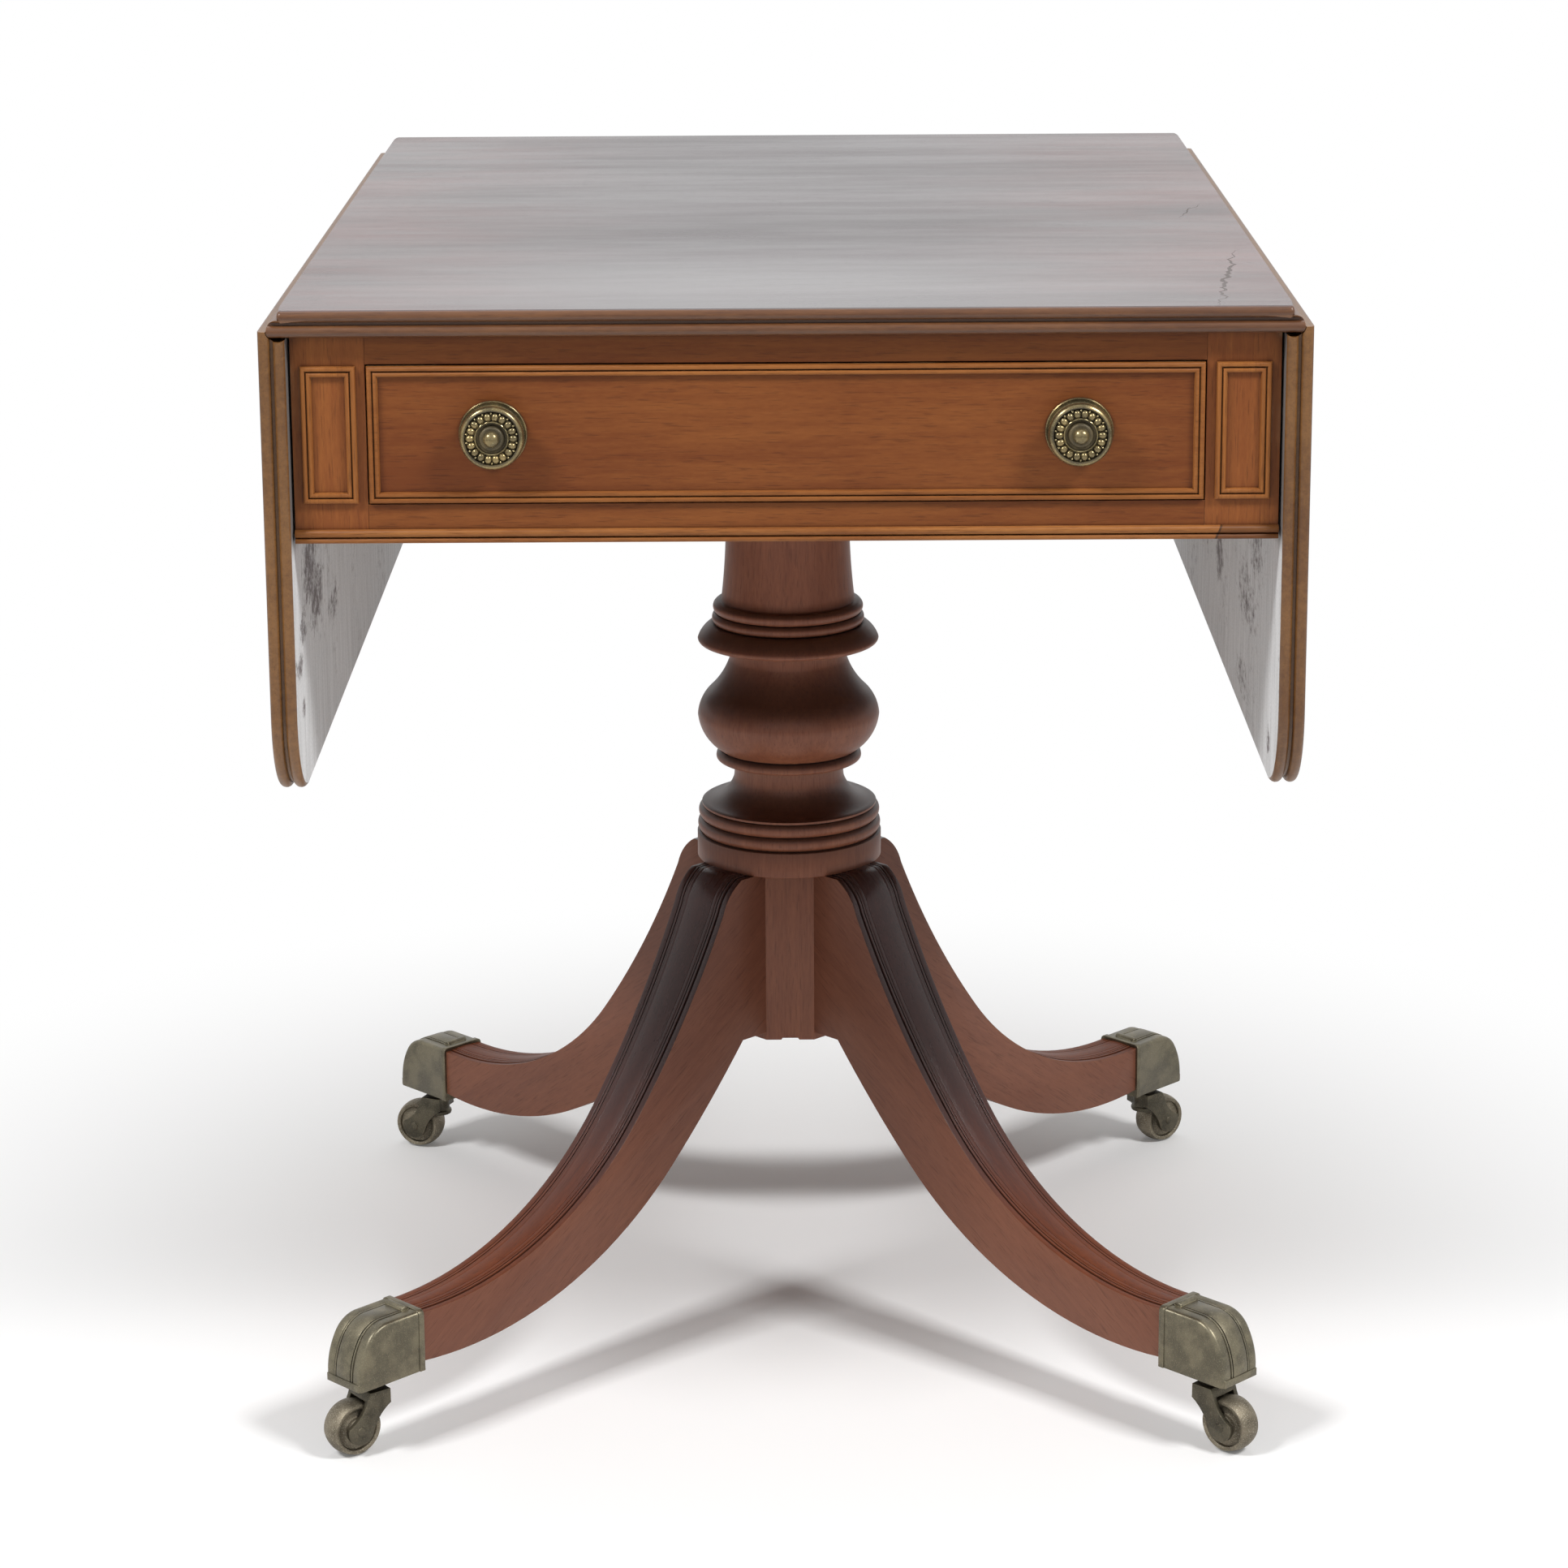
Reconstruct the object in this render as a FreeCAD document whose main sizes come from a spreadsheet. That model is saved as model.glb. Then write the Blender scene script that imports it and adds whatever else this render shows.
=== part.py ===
import FreeCAD, Part
import os
from types import SimpleNamespace

import Sketcher

# Pedestal table with two drop leaves, one drawer and four swept legs on castors.
# Millimetres. The origin is on the floor under the column, +Z is up and the drawer faces -Y.

SIZES = {
    # Top and leaves
    "top_height": 720.0,
    "top_width": 555.0,
    "top_depth": 738.0,
    "top_thick": 15.0,
    "reed_groove": 1.6,
    "joint_radius": 6.0,
    "pivot_rise": 4.0,
    "joint_gap": 0.4,
    "leaf_drop": 271.0,
    "leaf_corner": 52.0,
    # Rule-joint hinges
    "hinge_spread": 250.0,
    "hinge_long": 44.0,
    "hinge_reach": 30.0,
    "hinge_thick": 1.2,
    "hinge_clearance": 0.5,
    "knuckle_radius": 2.4,
    "knuckle_gap": 0.4,
    "hinge_pin_radius": 1.2,
    "pin_clearance": 0.05,
    "hinge_screw_out": 19.0,
    "hinge_screw_apart": 26.0,
    "hinge_screw_radius": 1.1,
    "hinge_screw_head": 2.3,
    "hinge_screw_head_thick": 1.0,
    "hinge_screw_long": 8.0,
    "screw_clearance": 0.1,
    # Frieze
    "frieze_gap": 1.3,
    "frieze_set_back": 11.0,
    "frieze_height": 117.0,
    "post_width": 41.0,
    "post_depth": 41.0,
    "rail_thick": 20.0,
    "top_rail_high": 16.5,
    "bottom_rail_high": 22.0,
    "bottom_rail_deep": 40.0,
    "side_rail_thick": 12.0,
    "top_screw_apart": 300.0,
    "top_screw_radius": 1.75,
    "top_screw_head": 3.6,
    "top_screw_head_thick": 2.2,
    "top_screw_sunk": 1.0,
    "top_screw_bite": 8.0,
    # Bead mouldings
    "panel_margin": 5.3,
    "frame_width": 6.6,
    "frame_proud": 3.0,
    "frame_groove_wide": 1.2,
    "frame_groove_deep": 1.4,
    "base_bead_upper": 4.8,
    "base_bead_lower": 3.2,
    "base_back": 1.0,
    # Drawer
    "drawer_gap": 0.8,
    "drawer_front_thick": 20.0,
    "drawer_side_thick": 8.0,
    "drawer_back_thick": 8.0,
    "drawer_long": 520.0,
    "drawer_back_drop": 8.0,
    "drawer_bottom_thick": 5.0,
    "drawer_bottom_up": 7.0,
    "drawer_groove": 3.0,
    "groove_clearance": 0.2,
    "run_gap": 0.3,
    "runner_wide": 18.0,
    "runner_high": 10.0,
    "stop_long": 30.0,
    "stop_deep": 12.0,
    "stop_high": 5.0,
    "stop_apart": 240.0,
    # Knobs
    "knob_apart": 323.0,
    "knob_radius": 18.8,
    "knob_plate_thick": 1.8,
    "knob_neck_radius": 12.5,
    "knob_neck_long": 5.0,
    "knob_rose_radius": 17.6,
    "knob_rose_thick": 7.0,
    "knob_recess_radius": 11.5,
    "knob_recess_deep": 2.2,
    "knob_boss_radius": 8.0,
    "knob_boss_high": 4.4,
    "knob_dome_high": 3.4,
    "knob_stem_radius": 2.5,
    "knob_nut_radius": 6.0,
    "knob_nut_thick": 4.0,
    "knob_stem_past_nut": 2.0,
    "knob_clearance": 0.15,
    # Fly brackets
    "fly_thick": 16.0,
    "fly_high": 48.0,
    "fly_long": 180.0,
    "fly_gap": 0.4,
    "fly_pin_radius": 2.5,
    "fly_pin_back": 70.0,
    "fly_block_long": 70.0,
    # Pedestal
    "bearer_wide": 150.0,
    "bearer_thick": 16.0,
    "tenon_radius": 22.0,
    "tenon_clearance": 0.1,
    "column_top_radius": 38.0,
    "shaft_foot_radius": 42.8,
    "ring_radius": 48.4,
    "ring_high": 7.6,
    "ring_bulge": 1.4,
    "flange_radius": 58.3,
    "flange_upper": 10.0,
    "flange_swell": 1.2,
    "flange_lower": 2.6,
    "flange_edge": 1.4,
    "upper_neck_radius": 37.4,
    "upper_neck_high": 10.2,
    "vase_radius": 58.6,
    "vase_upper": 37.7,
    "vase_neck_hollow": 1.7,
    "vase_shoulder": 15.8,
    "vase_shoulder_radius": 51.5,
    "vase_shoulder_swell": 1.5,
    "vase_lower": 24.0,
    "vase_lower_swell": 3.2,
    "vase_foot_radius": 45.0,
    "lower_ring_radius": 47.4,
    "lower_ring_high": 9.6,
    "lower_ring_neck": 6.8,
    "lower_neck_radius": 35.8,
    "bell_high": 19.5,
    "bell_radius": 57.6,
    "bell_hollow": 4.6,
    "reed_ring_high": 8.5,
    "reed_ring_bulge": 1.4,
    "collar_radius": 59.6,
    "collar_high": 17.2,
    "block_bottom": 187.0,
    "block_high": 112.6,
    "block_flat": 31.0,
    # Legs
    "leg_width_top": 46.0,
    "leg_width_toe": 31.0,
    "leg_crown_out": 66.0,
    "leg_shoulder_out": 82.0,
    "leg_shoulder_drop": 20.0,
    "leg_shoulder_radius": 34.0,
    "leg_knee_out": 158.6,
    "leg_knee_high": 160.3,
    "leg_upper_radius": 600.0,
    "leg_sweep_radius": 212.6,
    "leg_back_out": 66.0,
    "leg_back_rise": 5.0,
    "leg_calf_out": 127.8,
    "leg_calf_high": 123.6,
    "leg_calf_radius": 780.0,
    "leg_under_radius": 254.8,
    "leg_toe_top": 83.0,
    "leg_toe_under": 51.5,
    "dovetail_wide": 22.0,
    "dovetail_neck": 16.0,
    "dovetail_deep": 13.0,
    "dovetail_foot": 12.0,
    "dovetail_top": 8.0,
    "dovetail_clearance": 0.1,
    # Toe caps and castors
    "cap_start": 333.0,
    "cap_end": 383.0,
    "cap_width": 33.0,
    "cap_wall": 1.6,
    "cap_front_high": 34.0,
    "cap_front_deep": 22.0,
    "cap_front_swell": 1.75,
    "cap_brow_drop": 10.0,
    "cap_brow_back": 6.4,
    "cap_brow_swell": 2.36,
    "cap_socket_round": 28.0,
    "cap_fit": 0.1,
    "castor_high": 46.0,
    "swivel_out": 361.0,
    "swivel_gap": 0.3,
    "stem_radius": 4.0,
    "stem_long": 22.0,
    "stem_end_gap": 1.0,
    "stem_clearance": 0.06,
    "crown_radius": 10.0,
    "crown_thick": 8.0,
    "castor_trail": 15.0,
    "cheek_thick": 3.0,
    "cheek_gap": 0.7,
    "cheek_half": 8.0,
    "cheek_boss_radius": 6.5,
    "wheel_radius": 17.0,
    "wheel_width": 15.0,
    "wheel_crown": 1.5,
    "axle_radius": 3.0,
    "axle_clearance": 0.05,
    "axle_head": 0.8,
}

# Rest directions of the castors' trail, in degrees from +X.
CASTOR_TURNS = {"front_left": 217.0, "front_right": 316.0, "rear_left": 157.0, "rear_right": 37.0}
# Signs of X and Y for the four corners, and each leg's direction in degrees from +X.
CORNERS = {"front_left": (-1, -1), "front_right": (1, -1), "rear_left": (-1, 1), "rear_right": (1, 1)}
LEG_TURNS = {"front_left": 225.0, "front_right": 315.0, "rear_left": 135.0, "rear_right": 45.0}
SIDES = {"left": -1, "right": 1}
# A reed's rounding stops just short of a half circle, which leaves a narrow flat along its middle.
REED_SHARE = 0.97
# An edge is level if it rises by less than this.
LEVEL_WITHIN = 1e-6
X_AXIS = FreeCAD.Vector(1, 0, 0)
Y_AXIS = FreeCAD.Vector(0, 1, 0)
Z_AXIS = FreeCAD.Vector(0, 0, 1)

doc = FreeCAD.newDocument("PembrokeTable")
sheet = doc.addObject("Spreadsheet::Sheet", "Sizes")
for row, (alias, number) in enumerate(SIZES.items(), start=1):
    sheet.set(f"A{row}", alias)
    sheet.set(f"B{row}", str(number))
    sheet.setAlias(f"B{row}", alias)
doc.recompute()


class Measure:
    """A length that keeps both its value and the sheet expression that it is worked out from."""

    def __init__(self, value, text):
        self.value = value
        self.text = text

    def __add__(self, other):
        other = as_measure(other)
        return Measure(self.value + other.value, f"({self.text} + {other.text})")

    def __sub__(self, other):
        other = as_measure(other)
        return Measure(self.value - other.value, f"({self.text} - {other.text})")

    def __mul__(self, other):
        other = as_measure(other)
        return Measure(self.value * other.value, f"({self.text} * {other.text})")

    def __truediv__(self, other):
        other = as_measure(other)
        return Measure(self.value / other.value, f"({self.text} / {other.text})")

    def __neg__(self):
        return Measure(-self.value, f"(-1 * {self.text})")

    def __radd__(self, other):
        return as_measure(other) + self

    def __rsub__(self, other):
        return as_measure(other) - self

    def __rmul__(self, other):
        return as_measure(other) * self


def as_measure(number):
    if isinstance(number, Measure):
        return number
    return Measure(float(number), f"{float(number):.6f}")


def root(measure):
    """Square root of a measure."""
    return Measure(measure.value ** 0.5, f"sqrt({measure.text})")


def bind(piece, path, measure):
    """Ties one property of a piece to its sheet expression."""
    piece.setExpression(path, as_measure(measure).text)


def place(piece, x=0, y=0, z=0, turn=None):
    """Turns a piece and moves it to a place worked out from the sheet."""
    piece.Placement = FreeCAD.Placement(FreeCAD.Vector(), turn or FreeCAD.Rotation())
    for axis, measure in zip("xyz", (x, y, z)):
        bind(piece, f"Placement.Base.{axis}", measure)
    return piece


def span(side, near, far):
    """The lowest and highest of two distances from the middle, on one side of it."""
    if side > 0:
        return near, far
    return -far, -near


def both_ways(measure):
    return -measure, measure


def box(name, x, y, z):
    """A block between three pairs of coordinates."""
    piece = doc.addObject("Part::Box", name)
    for path, axis, (low, high) in zip(("Length", "Width", "Height"), "xyz", (x, y, z)):
        low = as_measure(low)
        bind(piece, path, high - low)
        bind(piece, f"Placement.Base.{axis}", low)
    return piece


ROD_TURNS = {
    "x": FreeCAD.Rotation(Y_AXIS, 90),
    "y": FreeCAD.Rotation(X_AXIS, -90),
    "z": FreeCAD.Rotation(),
}


def rod(name, axis, radius, start, long):
    """A round bar from its start point along X, Y or Z."""
    piece = doc.addObject("Part::Cylinder", name)
    bind(piece, "Radius", radius)
    bind(piece, "Height", long)
    return place(piece, *start, turn=ROD_TURNS[axis])


def fuse(name, pieces):
    piece = doc.addObject("Part::MultiFuse", name)
    piece.Shapes = pieces
    return piece


def group(name, pieces):
    piece = doc.addObject("Part::Compound", name)
    piece.Links = pieces
    return piece


def cut(name, base, tools):
    piece = doc.addObject("Part::Cut", name)
    piece.Base = base
    piece.Tool = tools[0] if len(tools) == 1 else group(f"{name}_cuts", tools)
    return piece


NODES = {}


def node(name, piece):
    """Names a finished sub-part, which is written to its own file."""
    piece.Label = name
    NODES[name] = piece
    return piece


def arc_between(start, end, radius):
    """Arc of the given radius, on the right of the way from start to end, or left if it is negative."""
    chord = end - start
    half = chord.Length / 2
    rise = (radius ** 2 - half ** 2) ** 0.5
    inward = FreeCAD.Vector(-chord.y, chord.x, 0).normalize()
    centre = start + chord * 0.5 + inward * (rise if radius > 0 else -rise)
    first, last = (start, end) if radius > 0 else (end, start)
    angles = [FreeCAD.Vector(1, 0, 0).getAngle(p - centre) for p in (first, last)]
    angles = [-a if (p - centre).y < 0 else a for a, p in zip(angles, (first, last))]
    return Part.ArcOfCircle(Part.Circle(centre, Z_AXIS, abs(radius)), angles[0], angles[1])


def draw(sketch, corners):
    """Draws one closed outline, anticlockwise. A corner is (u, v), or (u, v, radius) where the edge
    that leaves it is an arc, which bulges outwards, or inwards if its radius is negative."""
    offset = sketch.GeometryCount
    corners = [tuple(as_measure(m) for m in corner) for corner in corners]
    points = [FreeCAD.Vector(c[0].value, c[1].value, 0) for c in corners]
    ends = []
    for index, corner in enumerate(corners):
        start = points[index]
        end = points[(index + 1) % len(points)]
        if len(corner) == 3:
            radius = corner[2].value
            sketch.addGeometry(arc_between(start, end, radius), False)
            ends.append((1, 2) if radius > 0 else (2, 1))
        else:
            sketch.addGeometry(Part.LineSegment(start, end), False)
            ends.append((1, 2))
    for index, corner in enumerate(corners):
        edge = offset + index
        after = (index + 1) % len(corners)
        start, end = ends[index]
        next_start = ends[after][0]
        sketch.addConstraint(Sketcher.Constraint("Coincident", edge, end, offset + after, next_start))
        for kind, measure in (("DistanceX", corner[0]), ("DistanceY", corner[1])):
            tie = sketch.addConstraint(Sketcher.Constraint(kind, -1, 1, edge, start, measure.value))
            bind(sketch, f"Constraints[{tie}]", measure)
        if len(corner) == 3:
            radius = corner[2] if corner[2].value > 0 else -corner[2]
            tie = sketch.addConstraint(Sketcher.Constraint("Radius", edge, radius.value))
            bind(sketch, f"Constraints[{tie}]", radius)


def sketch_in(body, plane, outlines, offset=None):
    """A sketch on one of the body's own planes, with an offset along the plane's normal."""
    sketch = body.newObject("Sketcher::SketchObject", f"{body.Name}_sketch")
    support = [f for f in body.Origin.OriginFeatures if f.Role == f"{plane}_Plane"][0]
    sketch.AttachmentSupport = (support, [""])
    sketch.MapMode = "FlatFace"
    if offset is not None:
        bind(sketch, "AttachmentOffset.Base.z", offset)
    for corners in outlines:
        draw(sketch, corners)
    return sketch


def new_body(name):
    return doc.addObject("PartDesign::Body", f"{name}_body")


def pad(body, sketch, long, symmetric=False):
    feature = body.newObject("PartDesign::Pad", f"{body.Name}_pad")
    feature.Profile = sketch
    bind(feature, "Length", long)
    if symmetric:
        feature.SideType = "Symmetric"
    sketch.Visibility = False
    return feature


def pocket_through(body, sketch):
    """Cuts the sketch through the whole body, both ways from its plane."""
    feature = body.newObject("PartDesign::Pocket", f"{body.Name}_pocket")
    feature.Profile = sketch
    feature.Type = "ThroughAll"
    feature.SideType = "Symmetric"
    return feature


def bulge(start, end, rise):
    """The corner at start of an arc to end whose middle stands out from its chord by the rise."""
    across = end[0] - start[0]
    along = end[1] - start[1]
    square = across * across + along * along
    return start[0], start[1], square / (8 * rise) + rise / 2


def hollow(start, end, rise):
    """As bulge, for an arc whose middle stands in from its chord."""
    u, v, radius = bulge(start, end, rise)
    return u, v, -radius


def revolve(name, corners):
    """A turned piece: an outline of radius and height turned about Z."""
    body = new_body(name)
    sketch = sketch_in(body, "XZ", [corners])
    feature = body.newObject("PartDesign::Revolution", f"{name}_turning")
    feature.Profile = sketch
    feature.ReferenceAxis = (sketch, ["V_Axis"])
    feature.Angle = 360.0
    return body


size = SimpleNamespace(**{alias: Measure(number, f"Sizes.{alias}") for alias, number in SIZES.items()})

# Places that several pieces share
top_under = size.top_height - size.top_thick
half_depth = size.top_depth / 2
pivot_x = size.top_width / 2
pivot_z = top_under + size.pivot_rise
frieze_half = pivot_x - size.pivot_rise - size.frieze_gap
frieze_front = half_depth - size.frieze_set_back
frieze_bottom = top_under - size.frieze_height
post_inner = frieze_half - size.post_width
post_back = frieze_front - size.post_depth
opening_top = top_under - size.top_rail_high
opening_bottom = frieze_bottom + size.bottom_rail_high
reed_high = (size.top_thick - size.reed_groove) / 2
reed_radius = reed_high / 2
HALF_TURN = FreeCAD.Rotation(Z_AXIS, 180)
side_turns = {"left": HALF_TURN, "right": FreeCAD.Rotation()}
hang_turns = {"left": HALF_TURN * FreeCAD.Rotation(Y_AXIS, 90), "right": FreeCAD.Rotation(Y_AXIS, 90)}
hinge_places = (-size.hinge_spread, as_measure(0), size.hinge_spread)


# Hinges, drawn about the pivot with the leaf raised: the leaf is on +X and the top on -X
wood_low = -size.pivot_rise
plate_low = -size.knuckle_radius
knuckle_third = (size.hinge_long - 2 * size.knuckle_gap) / 3
screw_steps = (-size.hinge_screw_apart / 2, size.hinge_screw_apart / 2)


def knuckle_spans(side):
    """Lengths of hinge knuckle, from the hinge's middle: the outer two are the top's."""
    inner = knuckle_third / 2
    if side > 0:
        return [(-inner, inner)]
    outer = size.hinge_long / 2
    return [(-outer, -inner - size.knuckle_gap), (inner + size.knuckle_gap, outer)]


def hinge_screws(name, side):
    """The countersunk screws of one side's three plates."""
    pieces = []
    x = side * size.hinge_screw_out
    thick = size.hinge_screw_head_thick
    long = size.hinge_screw_long
    for place_y in hinge_places:
        for step in screw_steps:
            y = place_y + step
            head = rod(f"{name}_head", "z", size.hinge_screw_head, (x, y, plate_low), thick)
            shank = rod(f"{name}_shank", "z", size.hinge_screw_radius, (x, y, plate_low + thick), long)
            pieces.append(fuse(f"{name}_screw", [head, shank]))
    return group(f"{name}_set", pieces)


def hinge_plates(name, side):
    """Three plates with their knuckles, drilled for the pin and the screws."""
    pieces = []
    flap_near = size.knuckle_radius + size.knuckle_gap
    flap = span(side, flap_near, size.hinge_reach)
    web = span(side, as_measure(0), flap_near + size.hinge_clearance)
    heights = (plate_low, plate_low + size.hinge_thick)
    pin_bore = size.hinge_pin_radius + size.pin_clearance
    screw_hole = size.hinge_screw_head + size.screw_clearance
    for place_y in hinge_places:
        ends = (place_y - size.hinge_long / 2, place_y + size.hinge_long / 2)
        parts = [box(f"{name}_flap", flap, ends, heights)]
        for low, high in knuckle_spans(side):
            start = (0, place_y + low, 0)
            parts.append(rod(f"{name}_knuckle", "y", size.knuckle_radius, start, high - low))
            parts.append(box(f"{name}_web", web, (place_y + low, place_y + high), heights))
        holes = [rod(f"{name}_bore", "y", pin_bore, (0, ends[0], 0), size.hinge_long)]
        for step in screw_steps:
            start = (side * size.hinge_screw_out, place_y + step, plate_low)
            holes.append(rod(f"{name}_hole", "z", screw_hole, start, size.hinge_thick))
        pieces.append(cut(f"{name}_plate", fuse(f"{name}_blank", parts), holes))
    return group(f"{name}_plates", pieces)


def plate_recesses(name, side):
    """Room in the wood for the plates and their screws."""
    tools = []
    half = size.hinge_long / 2 + size.hinge_clearance
    across = span(side, as_measure(0), size.hinge_reach + size.hinge_clearance)
    heights = (wood_low, plate_low + size.hinge_thick + size.screw_clearance)
    pilot_radius = size.hinge_screw_radius + size.screw_clearance
    pilot_long = size.hinge_screw_head_thick + size.hinge_screw_long + size.screw_clearance
    for place_y in hinge_places:
        tools.append(box(f"{name}_seat", across, (place_y - half, place_y + half), heights))
        for step in screw_steps:
            start = (side * size.hinge_screw_out, place_y + step, plate_low)
            tools.append(rod(f"{name}_pilot", "z", pilot_radius, start, pilot_long))
    return tools


def knuckle_recesses(name):
    """Room in the top's edge for the knuckles, and for the leaf's plates as they swing."""
    tools = []
    half = size.hinge_long / 2 + size.hinge_clearance
    room = size.knuckle_radius + size.hinge_clearance
    across = (-room, size.joint_radius + size.hinge_clearance)
    for place_y in hinge_places:
        ends = (place_y - half, place_y + half)
        tools.append(rod(f"{name}_hollow", "y", room, (0, ends[0], 0), 2 * half))
        tools.append(box(f"{name}_slot", across, ends, (wood_low, -size.pin_clearance)))
    return tools


def hung(piece, side_name):
    """Moves a piece that is drawn raised about the pivot to one side, and lets it hang."""
    return place(piece, SIDES[side_name] * pivot_x, 0, pivot_z, hang_turns[side_name])


def at_joint(piece, side_name):
    """Moves a piece that is drawn about the pivot to the joint on one side of the top."""
    return place(piece, SIDES[side_name] * pivot_x, 0, pivot_z, side_turns[side_name])


top_plates = []
top_hinge_screws = []
pins = []
for side_name, side in SIDES.items():
    leaf_side = f"leaf_{side_name}"
    node(f"hinge_plates_{leaf_side}", hung(hinge_plates(f"{leaf_side}_hinge", 1), side_name))
    node(f"hinge_screws_{leaf_side}", hung(hinge_screws(f"{leaf_side}_hinge_screw", 1), side_name))
    top_plates.append(at_joint(hinge_plates(f"top_{side_name}_hinge", -1), side_name))
    top_hinge_screws.append(at_joint(hinge_screws(f"top_{side_name}_hinge_screw", -1), side_name))
    for place_y in hinge_places:
        start = (side * pivot_x, place_y - size.hinge_long / 2, pivot_z)
        pins.append(rod("hinge_pin", "y", size.hinge_pin_radius, start, size.hinge_long))
node("hinge_plates_top", group("hinge_plates_top_group", top_plates))
node("hinge_pins", group("hinge_pins_group", pins))


# Screws that hold the top to its front and rear rails
rail_middle = frieze_front - size.rail_thick / 2
top_screw_places = [(x, y) for y in both_ways(rail_middle) for x in both_ways(size.top_screw_apart / 2)]
head_low = opening_top + size.top_screw_sunk
shank_low = head_low + size.top_screw_head_thick
shank_long = top_under + size.top_screw_bite - shank_low


def top_screw(x, y):
    head = rod("top_screw_head", "z", size.top_screw_head, (x, y, head_low), size.top_screw_head_thick)
    shank = rod("top_screw_shank", "z", size.top_screw_radius, (x, y, shank_low), shank_long)
    return fuse("top_screw", [head, shank])


def top_screw_holes(x, y):
    """Clearance for one screw's shank and its sunk head."""
    wide = size.top_screw_head + size.screw_clearance
    sunk = size.top_screw_sunk + size.top_screw_head_thick
    narrow = size.top_screw_radius + size.screw_clearance
    return [
        rod("top_screw_sink", "z", wide, (x, y, opening_top), sunk),
        rod("top_screw_way", "z", narrow, (x, y, shank_low), shank_long + size.screw_clearance),
    ]


rail_screws = [top_screw(x, y) for x, y in top_screw_places]
node("top_screws", group("top_screws_group", rail_screws + top_hinge_screws))


# Top board: reeded front and rear edges, and the rule joint's rounded nose along each side
def top_board():
    body = new_body("top_board")
    inner = half_depth - reed_radius
    middle = top_under + reed_high
    corners = [(-inner, top_under), (inner, top_under, reed_radius)]
    for low in (top_under, middle + size.reed_groove):
        if low is not top_under:
            corners.append((inner, low, reed_radius))
        corners.append((half_depth, low + reed_radius, reed_radius))
        corners.append((inner, low + reed_high))
    for high in (size.top_height, middle):
        corners.append((-inner, high, reed_radius))
        corners.append((-half_depth, high - reed_radius, reed_radius))
        if high is size.top_height:
            corners.append((-inner, high - reed_high))
    wide = size.top_width + 2 * size.joint_radius
    pad(body, sketch_in(body, "YZ", [corners]), wide, symmetric=True)
    above = size.top_height + size.joint_radius
    below = top_under - size.joint_radius
    beyond = pivot_x + 2 * size.joint_radius
    nose_foot = root(size.joint_radius * size.joint_radius - size.pivot_rise * size.pivot_rise)
    waste = [
        (pivot_x, above),
        (pivot_x, pivot_z + size.joint_radius, -size.joint_radius),
        (pivot_x + size.joint_radius, pivot_z, -size.joint_radius),
        (pivot_x + nose_foot, top_under),
        (pivot_x + nose_foot, below),
        (beyond, below),
        (beyond, above),
    ]
    mirrored = [
        (-pivot_x, above),
        (-beyond, above),
        (-beyond, below),
        (-pivot_x - nose_foot, below),
        (-pivot_x - nose_foot, top_under, -size.joint_radius),
        (-pivot_x - size.joint_radius, pivot_z, -size.joint_radius),
        (-pivot_x, pivot_z + size.joint_radius),
    ]
    pocket_through(body, sketch_in(body, "XZ", [waste, mirrored]))
    tools = []
    for side_name in SIDES:
        seats = plate_recesses("top_hinge", -1) + knuckle_recesses("top_knuckle")
        tools.append(at_joint(group("top_hinge_seats", seats), side_name))
    for x, y in top_screw_places:
        tools += top_screw_holes(x, y)
    return cut("top_board_cut", body, tools)


node("top_board", top_board())


# Leaves, drawn raised about the pivot: two reeds round the free edges and a cove along the joint
def leaf_outline(inset):
    near = size.joint_gap
    far = size.leaf_drop - inset
    end = half_depth - inset
    corner = size.leaf_corner - inset
    return [
        (near, -end),
        (far - corner, -end, corner),
        (far, -end + corner),
        (far, end - corner, corner),
        (far - corner, end),
        (near, end),
    ]


def reed_edges(shape):
    """Names of the level edges round the reeds, without those along the joint."""
    margin = reed_radius.value / 2
    names = []
    for index, edge in enumerate(shape.Edges, start=1):
        bounds = edge.BoundBox
        level = bounds.ZLength < LEVEL_WITHIN
        along_joint = bounds.XMax < size.joint_gap.value + margin
        at_end = max(bounds.YMax, -bounds.YMin) > half_depth.value - margin
        at_side = bounds.XMax > size.leaf_drop.value - margin
        if level and not along_joint and (at_end or at_side):
            names.append(f"Edge{index}")
    return names


def leaf(name):
    body = new_body(name)
    upper_low = wood_low + reed_high + size.reed_groove
    pad(body, sketch_in(body, "XY", [leaf_outline(reed_radius)], wood_low), size.top_thick)
    pad(body, sketch_in(body, "XY", [leaf_outline(0)], wood_low), reed_high)
    last = pad(body, sketch_in(body, "XY", [leaf_outline(0)], upper_low), reed_high)
    doc.recompute()
    rounding = body.newObject("PartDesign::Fillet", f"{name}_reeds")
    rounding.Base = (last, reed_edges(last.Shape))
    bind(rounding, "Radius", reed_radius * REED_SHARE)
    cove = rod(f"{name}_cove", "y", size.joint_radius + size.joint_gap, (0, -half_depth, 0), size.top_depth)
    relief_across = (as_measure(0), size.pivot_rise + size.joint_gap)
    relief = box(f"{name}_relief", relief_across, both_ways(half_depth), (wood_low, as_measure(0)))
    return cut(f"{name}_cut", body, [cove, relief] + plate_recesses(f"{name}_hinge", 1))


for side_name in SIDES:
    node(f"leaf_{side_name}", hung(leaf(f"leaf_{side_name}"), side_name))


# Frieze: posts, rails and their mouldings
for corner, (side, end) in CORNERS.items():
    across = span(side, post_inner, frieze_half)
    along = span(end, post_back, frieze_front)
    node(f"post_{corner}", box(f"post_{corner}_block", across, along, (frieze_bottom, top_under)))

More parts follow.
